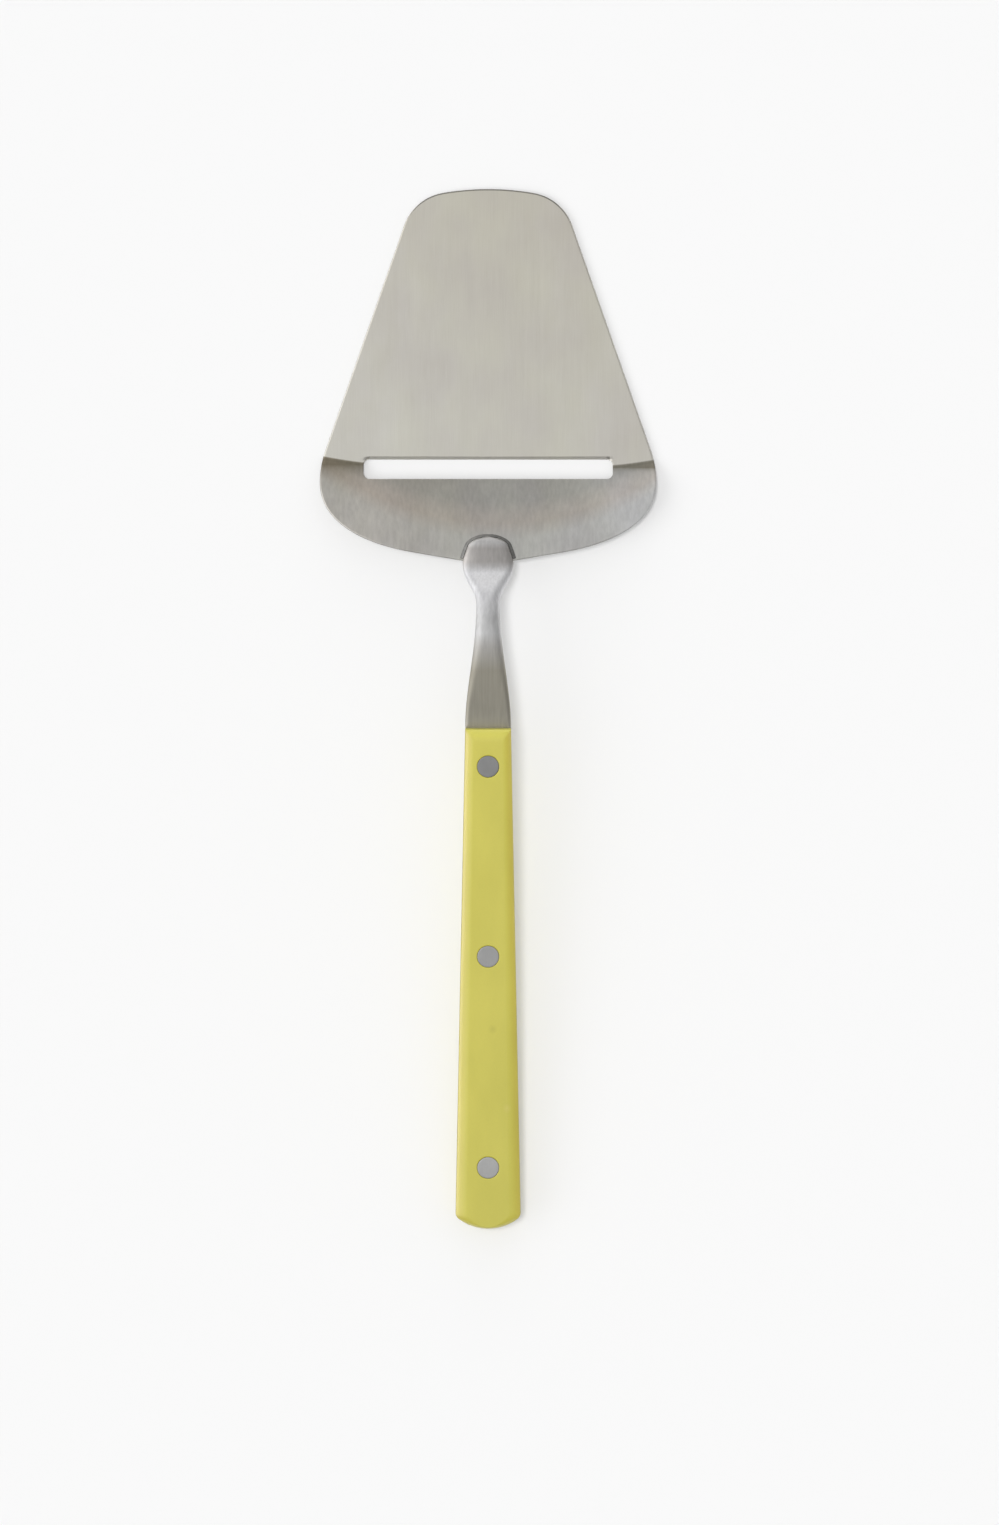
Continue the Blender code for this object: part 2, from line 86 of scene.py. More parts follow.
# Neck: a spade on the heel, a waist, and an S-bend up to the handle
SPADE_OVERLAP = 0.0062
SPADE_TIP_WIDTH = 0.0078
SPADE_TIP_ROUND = 0.0020
TIP_FLAT = math.radians(15)
SPADE_WIDTH = 0.0122
SPADE_SIDE_POWER = 1.3
SPADE_THICK = 0.0020
SPADE_RIM = 0.0020
SPADE_RIM_SHARE = 0.9
SPADE_ROUND = 0.0010
SPADE_FOOT = 0.0003
NECK_SPAN = 0.0390
NECK_TUCK = 0.0090
NECK_WAIST_WIDTH = 0.0058
NECK_WAIST_LENGTH = 0.0023
NECK_THICK = 0.0036
NECK_RIM = 0.0029
NECK_ROUND = 0.0017
NECK_END_RIM = 0.0009
NECK_END_ROUND = 0.0006
NECK_BEND_RADIUS = 0.0110
NECK_CLIMB = math.radians(40)
WELD_WIDTH = 0.0008
WELD_HEIGHT = 0.0009
WELD_TOE = 0.0002
WELD_RIPPLE = 0.00002
WELD_RIPPLE_LENGTH = 0.0011

# Handle: two scales on a full tang
HANDLE_RISE = 0.0189
HANDLE_LENGTH = 0.1208
HANDLE_FRONT_WIDTH = 0.0110
HANDLE_BUTT_WIDTH = 0.0158
HANDLE_THICK = 0.0110
TANG_THICK = 0.0030
TANG_ROUND = 0.0002
BUTT_CROWN = 0.0030
BUTT_CORNER = 0.0020
BUTT_ROUND = 0.0005
SHOULDER_FRONT = 0.0021
SHOULDER_BUTT = 0.0030
SHOULDER_DROP = 0.0013
SHOULDER_BREAK = math.radians(6)
SHOULDER_FOOT = math.radians(45)
FRONT_CHAMFER = 0.0028
END_MARGIN = 0.0003
HANDLE_Y = REAR_Y - NECK_SPAN
BUTT_REACH = HANDLE_LENGTH - BUTT_ROUND
BUTT_SPAN = math.hypot(BUTT_REACH, HANDLE_THICK / 2)
HANDLE_FALL = math.asin(HANDLE_RISE / BUTT_SPAN) - math.atan2(HANDLE_THICK / 2, BUTT_REACH)
SHOULDER_START = HANDLE_THICK / 2 - SHOULDER_DROP
HANDLE_FRAME = Matrix.Translation((0, HANDLE_Y, HANDLE_RISE)) @ Matrix.Rotation(HANDLE_FALL, 4, "X")

# Rivets: a solid pin from above, pressed into a sleeve from below
FRONT_RIVET = 0.0089
MIDDLE_RIVET = 0.0548
REAR_RIVET_MARGIN = 0.0149
RIVETS = {"front": FRONT_RIVET, "middle": MIDDLE_RIVET, "rear": HANDLE_LENGTH - REAR_RIVET_MARGIN}
RIVET_HEAD = 0.0052
RIVET_HEAD_THICK = 0.0014
RIVET_SLEEVE = 0.0034
RIVET_PIN = 0.0022
RIVET_EDGE = 0.0001
RIVET_LAND = 0.0004
PIN_END_GAP = 0.0004
HOLE_FIT = 0.00005
HOLE_EDGE = 0.00008
HOLE_LAND = 0.0003
HOLE_FIELD = 0.0032

# Seating gap between touching pieces, what counts as one point, and how finely curves are stepped
SEAT = 0.0001
MERGE = 1e-7
SEAM = 1e-6
ARC_STEPS = 14
CURVE_STEPS = 42
TIP_STEPS = 24
RIM_STEPS = 6
EASE_STEPS = 3
BEND_ROWS = 24
HEEL_ROWS = 16
SIDE_COLUMNS = 14
TURN_STEPS = 64
SHARP_ANGLE = math.radians(50)

# Finishes: the painted shade at the crease, the heel's zone of painted dark reflection, marks on the
# upper scale, and depths of relief
CREASE_LINE = 0.0003
CREASE_DEPTH_LEFT = 0.0012
CREASE_DEPTH_RIGHT = 0.0020
CREASE_FADE_LEFT = 0.0022
CREASE_FADE_RIGHT = 0.0006
# The zone behind the slot where the heel is painted darker, as painted reflection of the dark it faces
DARK_ZONE_DEPTH = 0.0081
DARK_ZONE_SHIFT = 0.0025
DARK_ZONE_HALF = 0.0320
PIT_PLACE = (0.0011, 0.0723)
SCUFF_PLACE = (0.0046, 0.0915)
MARK_RADIUS = 0.0012
BRUSH_DEPTH = 0.000008
SATIN_DEPTH = 0.00001
BEAD_DEPTH = 0.00002
GRAIN_DEPTH = 0.000006
SCUFF_DEPTH = 0.00001

# Table: white cloth, with a share of a faint glow mixed in
TABLE_REACH = 3.0
TABLE_COLOUR = (0.94, 0.94, 0.94, 1)
TABLE_GLOW = (0.562, 0.562, 0.562, 1)
TABLE_GLOW_SHARE = 0.35

# Light: levels of radiance for the dome, the panel and the strip, and of irradiance for the suns
DOME_LEVEL = 1.03
KEY_LEVEL = 1.50
KEY_SPREAD = math.radians(9)
KEY_PLACE = Vector((-0.2, 0.05, 2.0))
SIDE_LEVEL = 0.98
SIDE_SPREAD = math.radians(36)
SIDE_PLACE = Vector((-1.1, -0.4, 1.0))
PANEL_LEVEL = 1.0
PANEL_SIZE = (1.6, 1.2)
PANEL_PLACE = Vector((-0.9, 0.0, 0.52))
STRIP_LEVEL = 3.2
STRIP_SIZE = (1.6, 0.4)
STRIP_PLACE = Vector((-1.1, 0.0, 0.12))

# Photograph: the length that its height covers, and its middle at the level where that holds
PHOTO_HEIGHT = 0.3666
PHOTO_CENTRE = Vector((0.00274, -0.01300, 0.0100))
CAMERA_DISTANCE = 6.0
CAMERA_SENSOR = 36.0


def draw_line(shape, pen, x, y, z=0.0):
    """Carry an outline on to a point."""
    pen = bmesh.ops.extrude_vert_indiv(shape, verts=[pen])["verts"][0]
    pen.co = (x, y, z)
    return pen


def draw_arc(shape, pen, centre, turn, steps=ARC_STEPS):
    """Carry an outline on round a centre, anticlockwise seen from above where the turn is positive."""
    spun = bmesh.ops.spin(
        shape, geom=[pen], cent=(centre[0], centre[1], 0), axis=(0, 0, 1), angle=turn, steps=steps
    )
    return next(item for item in spun["geom_last"] if isinstance(item, bmesh.types.BMVert))


def whole(shape):
    """Everything that a shape is made of, for an operator."""
    return shape.verts[:] + shape.edges[:] + shape.faces[:]


def close_outline(shape, pen, start):
    """Close an outline, fill it and mirror it about the slicer's centreline."""
    shape.edges.new((pen, start))
    bmesh.ops.edgeloop_fill(shape, edges=shape.edges[:])
    bmesh.ops.mirror(shape, geom=whole(shape), axis="X", merge_dist=SEAM)
    bmesh.ops.recalc_face_normals(shape, faces=shape.faces[:])


def crowned_end(apex, crown, corner, side_point, lean):
    """The right half of a crowned end: its crown's centre, its crown's turn and its corner's centre."""
    normal = Vector((math.cos(lean), math.sin(lean)))
    half = side_point.x - (apex - crown - side_point.y) * math.tan(lean)
    radius = (half * half + crown * crown) / (2 * crown)
    centre_y = apex - radius
    reach = normal.dot(side_point) - corner - normal.y * centre_y
    turn = math.asin(reach / (radius - corner)) - lean
    corner_centre = ((radius - corner) * math.sin(turn), centre_y + (radius - corner) * math.cos(turn))
    return (0, centre_y), turn, corner_centre


def cut_across(shape, point, normal):
    """Add an edge wherever a plane crosses the shape."""
    bmesh.ops.bisect_plane(shape, geom=whole(shape), dist=MERGE, plane_co=point, plane_no=normal)


def sharp_edges(shape):
    """The edges where faces meet at more than the sharp angle."""
    return [edge for edge in shape.edges if edge.calc_face_angle(0) > SHARP_ANGLE]


def ease_edges(shape, edges, width):
    """Round some edges of a shape."""
    bmesh.ops.bevel(
        shape, geom=edges, offset=width, segments=EASE_STEPS, profile=0.5, affect="EDGES", material=-1
    )


def steps_between(start, end, count):
    """A number of even steps from a start to an end, with both."""
    return [start + (end - start) * i / count for i in range(count + 1)]


def smooth_step(start, end, part):
    """A value that leaves its start and reaches its end without a kink."""
    part = min(max(part, 0.0), 1.0)
    return start + (end - start) * part * part * (3 - 2 * part)


def end_round(distance, length):
    """How full a rounded end is, as a share of its full size, at a distance from it."""
    short = max(1 - distance / length, 0.0)
    return math.sqrt(1 - short * short)


def crease_sweep(x):
    """How far forward the crease has swept at a place across the blade: it is pressed a little askew."""
    slot_half = SLOT_WIDTH / 2
    part = max(abs(x) - slot_half, 0.0) / (HALF_BLADE - slot_half)
    return CREASE_SWEEP * part**CREASE_SWEEP_POWER - CREASE_SKEW * x


def heel_slope(run):
    """Slope of the sheet at a distance behind the crease."""
    if run < HEEL_BEND:
        return HEEL_START * max(run, 0.0) / HEEL_BEND
    return HEEL_START - (HEEL_START - HEEL_END) * (run - HEEL_BEND) / (HEEL_RUN - HEEL_BEND)


def heel_rise(run):
    """Height of the sheet's underside at a distance behind the crease."""
    bent = min(max(run, 0.0), HEEL_BEND)
    past = max(run - HEEL_BEND, 0.0)
    return bent * heel_slope(bent) / 2 + past * (HEEL_START + heel_slope(HEEL_BEND + past)) / 2


def on_heel(x, run, height):
    """A point at a height above the heel's upper face, square to it."""
    pitch = math.atan(heel_slope(run))
    lift = SHEET + height
    return Vector((x, CREASE_Y - run + lift * math.sin(pitch), heel_rise(run) + lift * math.cos(pitch)))


def draw_blade(shape):
    """The blade's plan: its right half, from the cutting edge round the tip and the heel to the slot."""
    widest = Vector((HALF_BLADE, EDGE_Y - WIDEST_SETBACK))
    lobe_centre = widest - Vector((LOBE_RADIUS, 0))
    lobe_start = lobe_centre + LOBE_RADIUS * Vector((math.cos(TAPER), math.sin(TAPER)))
    tip_centre, tip_turn, corner_centre = crowned_end(TIP_Y, TIP_CROWN, TIP_CORNER, lobe_start, TAPER)
    along_rear = Vector((math.cos(REAR_SWEEP), math.sin(REAR_SWEEP)))
    rear = Vector((0, REAR_Y)) + along_rear * REAR_STRAIGHT
    lobe_rear = interpolate_bezier(
        widest,
        widest - Vector((0, LOBE_SIDE_PULL)),
        rear + along_rear * LOBE_REAR_PULL,
        rear,
        CURVE_STEPS,
    )
    slot_half = SLOT_WIDTH / 2
    slot_rear = EDGE_Y - SLOT_GAP
    corner_x = slot_half - SLOT_CORNER

    start = shape.verts.new((0, EDGE_Y, 0))
    pen = draw_line(shape, start, 0, TIP_Y)
    pen = draw_arc(shape, pen, tip_centre, -tip_turn)
    pen = draw_arc(shape, pen, corner_centre, TAPER - math.pi / 2 + tip_turn)
    pen = draw_line(shape, pen, *lobe_start)
    pen = draw_arc(shape, pen, lobe_centre, -TAPER)
    for point in lobe_rear[1:]:
        pen = draw_line(shape, pen, *point[:2])
    pen = draw_line(shape, pen, 0, REAR_Y)
    pen = draw_line(shape, pen, 0, slot_rear)
    pen = draw_line(shape, pen, corner_x, slot_rear)
    pen = draw_arc(shape, pen, (corner_x, slot_rear + SLOT_CORNER), math.pi / 2, RIM_STEPS)
    pen = draw_line(shape, pen, slot_half, EDGE_Y - SLOT_CORNER)
    pen = draw_arc(shape, pen, (corner_x, EDGE_Y - SLOT_CORNER), math.pi / 2, RIM_STEPS)
    close_outline(shape, pen, start)


def in_slot(edge):
    """Whether an edge of the flat blade is one of the slot's."""
    middle = (edge.verts[0].co + edge.verts[1].co) / 2
    across = abs(middle.x) <= SLOT_WIDTH / 2 + MERGE
    return across and EDGE_Y - SLOT_GAP - MERGE <= middle.y <= EDGE_Y + MERGE


def ground_height(x, y):
    """Height left under the grinding of the slot's front edge, which runs out at the slot's corners."""
    if y < EDGE_Y - SLOT_CORNER:
        return SHEET
    past_edge = max(y - EDGE_Y, 0.0)
    past_end = max(abs(x) - SLOT_WIDTH / 2 + SLOT_CORNER, 0.0)
    return EDGE_LAND + (SHEET - EDGE_LAND) * past_edge / EDGE_GRIND + GRIND_RUNOUT * past_end


def blade_mesh():
    """A slab with eased edges, ground along the slot and pressed up behind the crease."""
    shape = bmesh.new()
    draw_blade(shape)
    raised = bmesh.ops.extrude_face_region(shape, geom=shape.faces[:])["geom"]
    top = [item for item in raised if isinstance(item, bmesh.types.BMVert)]
    bmesh.ops.translate(shape, verts=top, vec=(0, 0, SHEET))
    bmesh.ops.recalc_face_normals(shape, faces=shape.faces[:])
    ease_edges(shape, [edge for edge in sharp_edges(shape) if not in_slot(edge)], RIM_EDGE)
    ease_edges(shape, [edge for edge in sharp_edges(shape) if in_slot(edge)], SLOT_EDGE)

    rows = [EDGE_Y + EDGE_GRIND]
    askew = CREASE_SKEW * HALF_BLADE
    rows += steps_between(CREASE_Y + CREASE_SWEEP + askew, CREASE_Y - HEEL_BEND - askew, BEND_ROWS)
    rows += steps_between(CREASE_Y - HEEL_BEND - askew, REAR_Y, HEEL_ROWS)[1:-1]
    for y in rows:
        cut_across(shape, (0, y, 0), (0, 1, 0))
    for x in steps_between(SLOT_WIDTH / 2 - SLOT_CORNER, HALF_BLADE, SIDE_COLUMNS)[:-1]:
        for side in (-x, x):
            cut_across(shape, (side, 0, 0), (1, 0, 0))

    for vert in shape.verts:
        x, y, z = vert.co
        run = CREASE_Y + crease_sweep(x) - y
        z = min(z, ground_height(x, y))
        vert.co.z = heel_rise(run) + z * math.hypot(1, heel_slope(run))
    return shape


def spade_half_width(distance):
    """Half width of the spade at a distance from its tip."""
    towards_tip = max(1 - distance / SPADE_OVERLAP, 0.0)
    width = SPADE_WIDTH + (SPADE_TIP_WIDTH - SPADE_WIDTH) * towards_tip**SPADE_SIDE_POWER
    return width / 2 * end_round(distance, SPADE_TIP_ROUND)


def spade_stations():
    """Distances from the spade's tip to the heel's rear edge, close together round its tip."""
    angles = steps_between(TIP_FLAT, math.pi / 2, TIP_STEPS)[:-1]
    rounded = [SPADE_TIP_ROUND * (1 - math.cos(angle)) for angle in angles]
    return rounded + steps_between(SPADE_TIP_ROUND, SPADE_OVERLAP, ARC_STEPS)


def bar_section(pattern, centre, pitch, half_width, below, above, rim, upper_round, lower_round):
    """A section of the forged bar, from a pattern of unit corner arcs: a soft rim above, a foot below."""
    ring = []
    for corner in pattern:
        outward = 2 * abs(corner.x) - 1
        upright = 2 * abs(corner.y) - 1
        upper = corner.y > 0
        across = half_width - (rim if upper else lower_round) * (1 - outward)
        height = above - upper_round * (1 - upright) if upper else below + lower_round * (1 - upright)
        x = math.copysign(across, corner.x)
        ring.append(centre + Vector((x, height * math.sin(pitch), height * math.cos(pitch))))
    return ring


def spade_sections(pattern):
    """Sections seated on the heel, from the spade's rounded tip to the heel's rear edge."""
    for distance in spade_stations():
        run = HEEL_RUN - SPADE_OVERLAP + distance
        above = SPADE_THICK - SPADE_ROUND * (1 - end_round(distance, SPADE_RIM))
        below = SPADE_FOOT * (1 - end_round(distance, SPADE_FOOT))
        upper_round = min(SPADE_ROUND, above - below - SPADE_FOOT)
        yield bar_section(
            pattern,
            on_heel(0, run, SEAT),
            math.atan(heel_slope(run)),
            spade_half_width(distance),
            below,
            above,
            min(SPADE_RIM, SPADE_RIM_SHARE * spade_half_width(distance)),
            upper_round,
            SPADE_FOOT,
        )


def neck_path():
    """Points and pitches from the heel's rear edge, up the bend and over to the handle's front face."""
    start_pitch = math.atan(heel_slope(HEEL_RUN))
    start = on_heel(0, HEEL_RUN, SEAT + SPADE_THICK / 2)
    path = []
    for pitch in steps_between(start_pitch, NECK_CLIMB, ARC_STEPS)[1:]:
        forward = NECK_BEND_RADIUS * (math.sin(pitch) - math.sin(start_pitch))
        climb = NECK_BEND_RADIUS * (math.cos(start_pitch) - math.cos(pitch))
        path.append((start + Vector((0, -forward, climb)), pitch))
    bend_end = path[-1][0]
    handle_front = Vector((0, HANDLE_Y, HANDLE_RISE))
    pull = (bend_end - handle_front).length / 3
    curve = interpolate_bezier(
        bend_end,
        bend_end + pull * Vector((0, -math.cos(NECK_CLIMB), math.sin(NECK_CLIMB))),
        handle_front + pull * Vector((0, math.cos(HANDLE_FALL), math.sin(HANDLE_FALL))),
        handle_front,
        CURVE_STEPS,
    )
    for before, point, after in zip(curve, curve[1:], curve[2:]):
        path.append((point, math.atan2(after.z - before.z, before.y - after.y)))
    return path


def neck_sections(pattern):
    """Sections of the tuck, the waist and the flare, up to the handle's front face."""
    flare_y = REAR_Y - NECK_TUCK - NECK_WAIST_LENGTH
    for point, pitch in neck_path():
        tucked = (REAR_Y - point.y) / NECK_TUCK
        flared = (flare_y - point.y) / (flare_y - HANDLE_Y)
        sizes = (
            (SPADE_WIDTH, NECK_WAIST_WIDTH, HANDLE_FRONT_WIDTH),
            (SPADE_THICK, NECK_THICK, TANG_THICK),
            (SPADE_RIM, NECK_RIM, NECK_END_RIM),
            (SPADE_ROUND, NECK_ROUND, NECK_END_ROUND),
            (SPADE_FOOT, NECK_ROUND, NECK_END_ROUND),
        )
        width, thick, rim, upper_round, lower_round = [
            smooth_step(spade, waist, tucked) if tucked < 1 else smooth_step(waist, tang, flared)
            for spade, waist, tang in sizes
        ]
        yield bar_section(
            pattern, point, pitch, width / 2, -thick / 2, thick / 2, rim, upper_round, lower_round
        )


def handle_lean():
    """Angle at which each side of the handle widens towards the butt."""
    return math.atan((HANDLE_BUTT_WIDTH - HANDLE_FRONT_WIDTH) / 2 / HANDLE_LENGTH)


def butt_end():
    """The handle's butt as a crowned end."""
    front = Vector((HANDLE_FRONT_WIDTH / 2, 0))
    return crowned_end(HANDLE_LENGTH, BUTT_CROWN, BUTT_CORNER, front, -handle_lean())


def on_arc(centre, radius, angle):
    """A point at an angle round a centre."""
    return centre[0] + radius * math.cos(angle), centre[1] + radius * math.sin(angle)


def tang_sections(pattern):
    """Sections of the tang, from the handle's front face round the crown of its butt."""
    crown_centre, turn, corner_centre = butt_end()
    crown_radius = HANDLE_LENGTH - crown_centre[1]
    outline = [(HANDLE_FRONT_WIDTH / 2, 0.0)]
    for angle in steps_between(-handle_lean(), math.pi / 2 - turn, ARC_STEPS):
        outline.append(on_arc(corner_centre, BUTT_CORNER, angle))
    for angle in steps_between(math.pi / 2 - turn, math.pi / 2, 2 * ARC_STEPS)[1:-1]:
        outline.append(on_arc(crown_centre, crown_radius, angle))
    half = TANG_THICK / 2
    for half_width, distance in outline:
        centre = HANDLE_FRAME @ Vector((0, -distance, 0))
        rim = min(TANG_ROUND, half_width / 2)
        yield bar_section(pattern, centre, -HANDLE_FALL, half_width, -half, half, rim, TANG_ROUND, rim)


def loft(sections):
    """A bar extruded from one section to the next, and closed at both ends."""
    shape = bmesh.new()
    # The pattern is a square from -1 to 1, with its corners rounded from 0.5 on
    bmesh.ops.create_grid(shape, x_segments=1, y_segments=1, size=1)
    bmesh.ops.bevel(
        shape,
        geom=shape.verts[:],
        offset=0.5,
        segments=RIM_STEPS,
        profile=0.5,
        affect="VERTICES",
        material=-1,
    )
    face = next(iter(shape.faces))
    pattern = [vert.co.copy() for vert in face.verts]
    for i, section in enumerate(sections(pattern)):
        if i:
            face = bmesh.ops.extrude_discrete_faces(shape, faces=[face])["faces"][0]
        for vert, spot in zip(face.verts, section):
            vert.co = spot
    open_edges = [edge for edge in shape.edges if edge.is_boundary]
    bmesh.ops.holes_fill(shape, edges=open_edges)
    bmesh.ops.remove_doubles(shape, verts=shape.verts[:], dist=MERGE)
    bmesh.ops.recalc_face_normals(shape, faces=shape.faces[:])
    return shape


def bar_sections(pattern):
    """Sections of the whole forged bar, from the spade's tip to the butt."""
    yield from spade_sections(pattern)
    yield from neck_sections(pattern)
    yield from tang_sections(pattern)


def weld_sections(pattern):
    """Sections of the bead that follows the spade's edge, from one of its sides round to the other."""
    tip_run = HEEL_RUN - SPADE_OVERLAP
    end = SPADE_OVERLAP - (SPADE_WIDTH / 2 + WELD_WIDTH) * math.tan(REAR_SWEEP)
    stations = [distance for distance in spade_stations() if distance < end] + [end]
    right = [Vector((spade_half_width(place), -tip_run - place)) for place in reversed(stations)]
    path = right + [Vector((-point.x, point.y)) for point in reversed(right)]
    travelled = 0.0
    for i, point in enumerate(path):
        before = path[max(i - 1, 0)]
        travelled += (point - before).length
        incoming = (point - before).normalized()
        outgoing = (path[min(i + 1, len(path) - 1)] - point).normalized()
        along = (incoming + outgoing).normalized()
        outward = Vector((along.y, -along.x))
        ripple = WELD_RIPPLE * math.sin(2 * math.pi * travelled / WELD_RIPPLE_LENGTH)
        ring = []
        for corner in pattern:
            offset = WELD_WIDTH * (corner.x + 1) / 2
            crown = WELD_TOE + (WELD_HEIGHT - WELD_TOE) * (1 - corner.x) / 2 + ripple
            spot = point + outward * (SEAT + offset)
            ring.append(on_heel(spot.x, -spot.y, SEAT + crown * (corner.y + 1) / 2))
        yield ring


def draw_handle(shape):
    """The handle's plan in its own frame; returns the distance at which the butt's corners start."""
    crown_centre, turn, corner_centre = butt_end()
    corner_middle = (corner_centre[0], -corner_centre[1])
    corner_start = corner_centre[0] + BUTT_CORNER * math.cos(handle_lean())
    corner_distance = corner_centre[1] - BUTT_CORNER * math.sin(handle_lean())
    start = shape.verts.new((0, 0, 0))
    pen = draw_line(shape, start, HANDLE_FRONT_WIDTH / 2, 0)
    pen = draw_line(shape, pen, corner_start, -corner_distance)
    pen = draw_arc(shape, pen, corner_middle, turn - math.pi / 2 - handle_lean())
    pen = draw_arc(shape, pen, (0, -crown_centre[1]), -turn, 2 * ARC_STEPS)
    close_outline(shape, pen, start)
    return corner_distance


def shoulder_height(turn):
    """The share of its drop that the shoulder has risen, where it has turned this far from flat."""
    foot = math.cos(SHOULDER_FOOT)
    return (math.cos(turn) - foot) / (math.cos(SHOULDER_BREAK) - foot)


def shoulder_inset(risen):
    """The share of its width that the shoulder has come in, at a share of its drop."""
    foot = math.cos(SHOULDER_FOOT)
    turn = math.acos(foot + risen * (math.cos(SHOULDER_BREAK) - foot))
    outside = math.sin(SHOULDER_FOOT)
    return (outside - math.sin(turn)) / (outside - math.sin(SHOULDER_BREAK))


def draw_in_shoulders(shape):
    """Draw the scale in at its upper edges: shoulders that widen to the butt, and a front chamfer."""
    for vert in shape.verts:
        x, y, z = vert.co
        inset = shoulder_inset(min(max((z - SHOULDER_START) / SHOULDER_DROP, 0.0), 1.0))
        part = -y / HANDLE_LENGTH
        half_width = (HANDLE_FRONT_WIDTH + (HANDLE_BUTT_WIDTH - HANDLE_FRONT_WIDTH) * part) / 2
        shoulder = SHOULDER_FRONT + (SHOULDER_BUTT - SHOULDER_FRONT) * part
        front = FRONT_CHAMFER * inset
        length = HANDLE_LENGTH - front - BUTT_ROUND * inset
        vert.co.x = x * (1 - inset * shoulder / half_width)
        vert.co.y = -front - part * length


def hole_square(shape, centre, height):
    """The square of a flat face round a rivet's axis, its sides split into as many steps as a ring."""
    middle = Vector((0, -centre, height))
    square = min(shape.faces, key=lambda face: (face.calc_center_median() - middle).length)
    rim = square.edges[:]
    bmesh.ops.delete(shape, geom=[square], context="FACES_ONLY")
    split = bmesh.ops.subdivide_edges(shape, edges=rim, cuts=TURN_STEPS // 4 - 1)["geom_inner"]
    steps = [item for item in split if isinstance(item, bmesh.types.BMVert)]
    rim = {edge for vert in steps for edge in vert.link_edges if edge.is_boundary}
    return bmesh.ops.edgeloop_fill(shape, edges=list(rim))["faces"][0]


def sink_rings(shape, centre, start, rings):
    """Sink an open hole from a flat face, through (radius, height) rings round a rivet's axis."""
    axis = Vector((0, -centre))
    face = hole_square(shape, centre, start)
    for radius, height in rings:
        face = bmesh.ops.extrude_discrete_faces(shape, faces=[face])["faces"][0]
        for vert in face.verts:
            spot = axis + (vert.co.xy - axis).normalized() * radius
            vert.co = (*spot, height)
    bmesh.ops.delete(shape, geom=[face], context="FACES_ONLY")


def drill_rivet_hole(shape, centre, bottom):
    """A head recess with an eased rim in the scale's face, and a sleeve hole on down to the tang."""
    top = HANDLE_THICK / 2
    ledge = top - RIVET_HEAD_THICK - SEAT
    head = RIVET_HEAD / 2 + HOLE_FIT
    sleeve = RIVET_SLEEVE / 2 + HOLE_FIT
    rim = [(head + HOLE_EDGE + HOLE_LAND, top), (head + HOLE_EDGE, top)]
    recess = [(head, top - HOLE_EDGE), (head, ledge), (sleeve, ledge), (sleeve, bottom)]
    sink_rings(shape, centre, top, rim + recess)
    sink_rings(shape, centre, bottom, [(sleeve, bottom)])
    bmesh.ops.remove_doubles(shape, verts=shape.verts[:], dist=SEAM)


def scale_mesh(turn):
    """One handle scale: its plan raised in steps, drawn in at the shoulders and drilled for rivets."""
    bottom = TANG_THICK / 2 + SEAT
    shape = bmesh.new()
    corner_distance = draw_handle(shape)
    bmesh.ops.translate(shape, verts=shape.verts[:], vec=(0, 0, bottom))
    bends = steps_between(SHOULDER_FOOT, SHOULDER_BREAK, ARC_STEPS)
    heights = [bottom] + [SHOULDER_START + SHOULDER_DROP * shoulder_height(bend) for bend in bends]
    faces = shape.faces[:]
    for low, high in zip(heights, heights[1:]):
        edges = {edge for face in faces for edge in face.edges}
        raised = bmesh.ops.extrude_face_region(shape, geom=faces + list(edges))["geom"]
        top = [item for item in raised if isinstance(item, bmesh.types.BMVert)]
        bmesh.ops.translate(shape, verts=top, vec=(0, 0, high - low))
        faces = [item for item in raised if isinstance(item, bmesh.types.BMFace)]
    for distance in (END_MARGIN, corner_distance - END_MARGIN):
        cut_across(shape, (0, -distance, 0), (0, 1, 0))
    draw_in_shoulders(shape)
    seam = [edge for edge in shape.edges if all(abs(vert.co.x) < SEAM for vert in edge.verts)]
    flat_seam = [edge for edge in seam if edge.calc_length() > HOLE_FIELD]
    bmesh.ops.dissolve_edges(shape, edges=flat_seam, use_verts=False)
    for side in (-HOLE_FIELD, HOLE_FIELD):
        cut_across(shape, (side, 0, 0), (1, 0, 0))
        for centre in RIVETS.values():
            cut_across(shape, (0, side - centre, 0), (0, 1, 0))
    for centre in RIVETS.values():
        drill_rivet_hole(shape, centre, bottom)
    bmesh.ops.recalc_face_normals(shape, faces=shape.faces[:])
    bmesh.ops.transform(shape, matrix=HANDLE_FRAME @ Matrix.Rotation(turn, 4, "Y"), verts=shape.verts[:])
    return shape


def turned_mesh(profile, distance):
    """A (radius, height) profile turned on a rivet's axis, with its edges eased."""
    shape = bmesh.new()
    pen = shape.verts.new((profile[0][0], 0, profile[0][1]))
    for radius, height in profile[1:]:
        pen = draw_line(shape, pen, radius, 0, height)
    bmesh.ops.spin(
        shape,
        geom=shape.verts[:] + shape.edges[:],
        cent=(0, 0, 0),
        axis=(0, 0, 1),
        angle=2 * math.pi,
        steps=TURN_STEPS,
        use_merge=True,
    )
    bmesh.ops.remove_doubles(shape, verts=shape.verts[:], dist=SEAM)
    bmesh.ops.recalc_face_normals(shape, faces=shape.faces[:])
    ease_edges(shape, sharp_edges(shape), RIVET_EDGE)
    bmesh.ops.transform(
        shape, matrix=HANDLE_FRAME @ Matrix.Translation((0, -distance, 0)), verts=shape.verts[:]
    )
    return shape


def rivet_pin_profile():
    """The solid half, from the middle of its head down to the middle of its end."""
    top = HANDLE_THICK / 2
    end = -top + RIVET_HEAD_THICK + PIN_END_GAP
    head = RIVET_HEAD / 2
    pin = RIVET_PIN / 2
    neck = top - RIVET_HEAD_THICK
    face = [(0, top), (head - RIVET_LAND, top), (head, top)]
    return face + [(head, neck), (pin, neck), (pin, end), (0, end)]


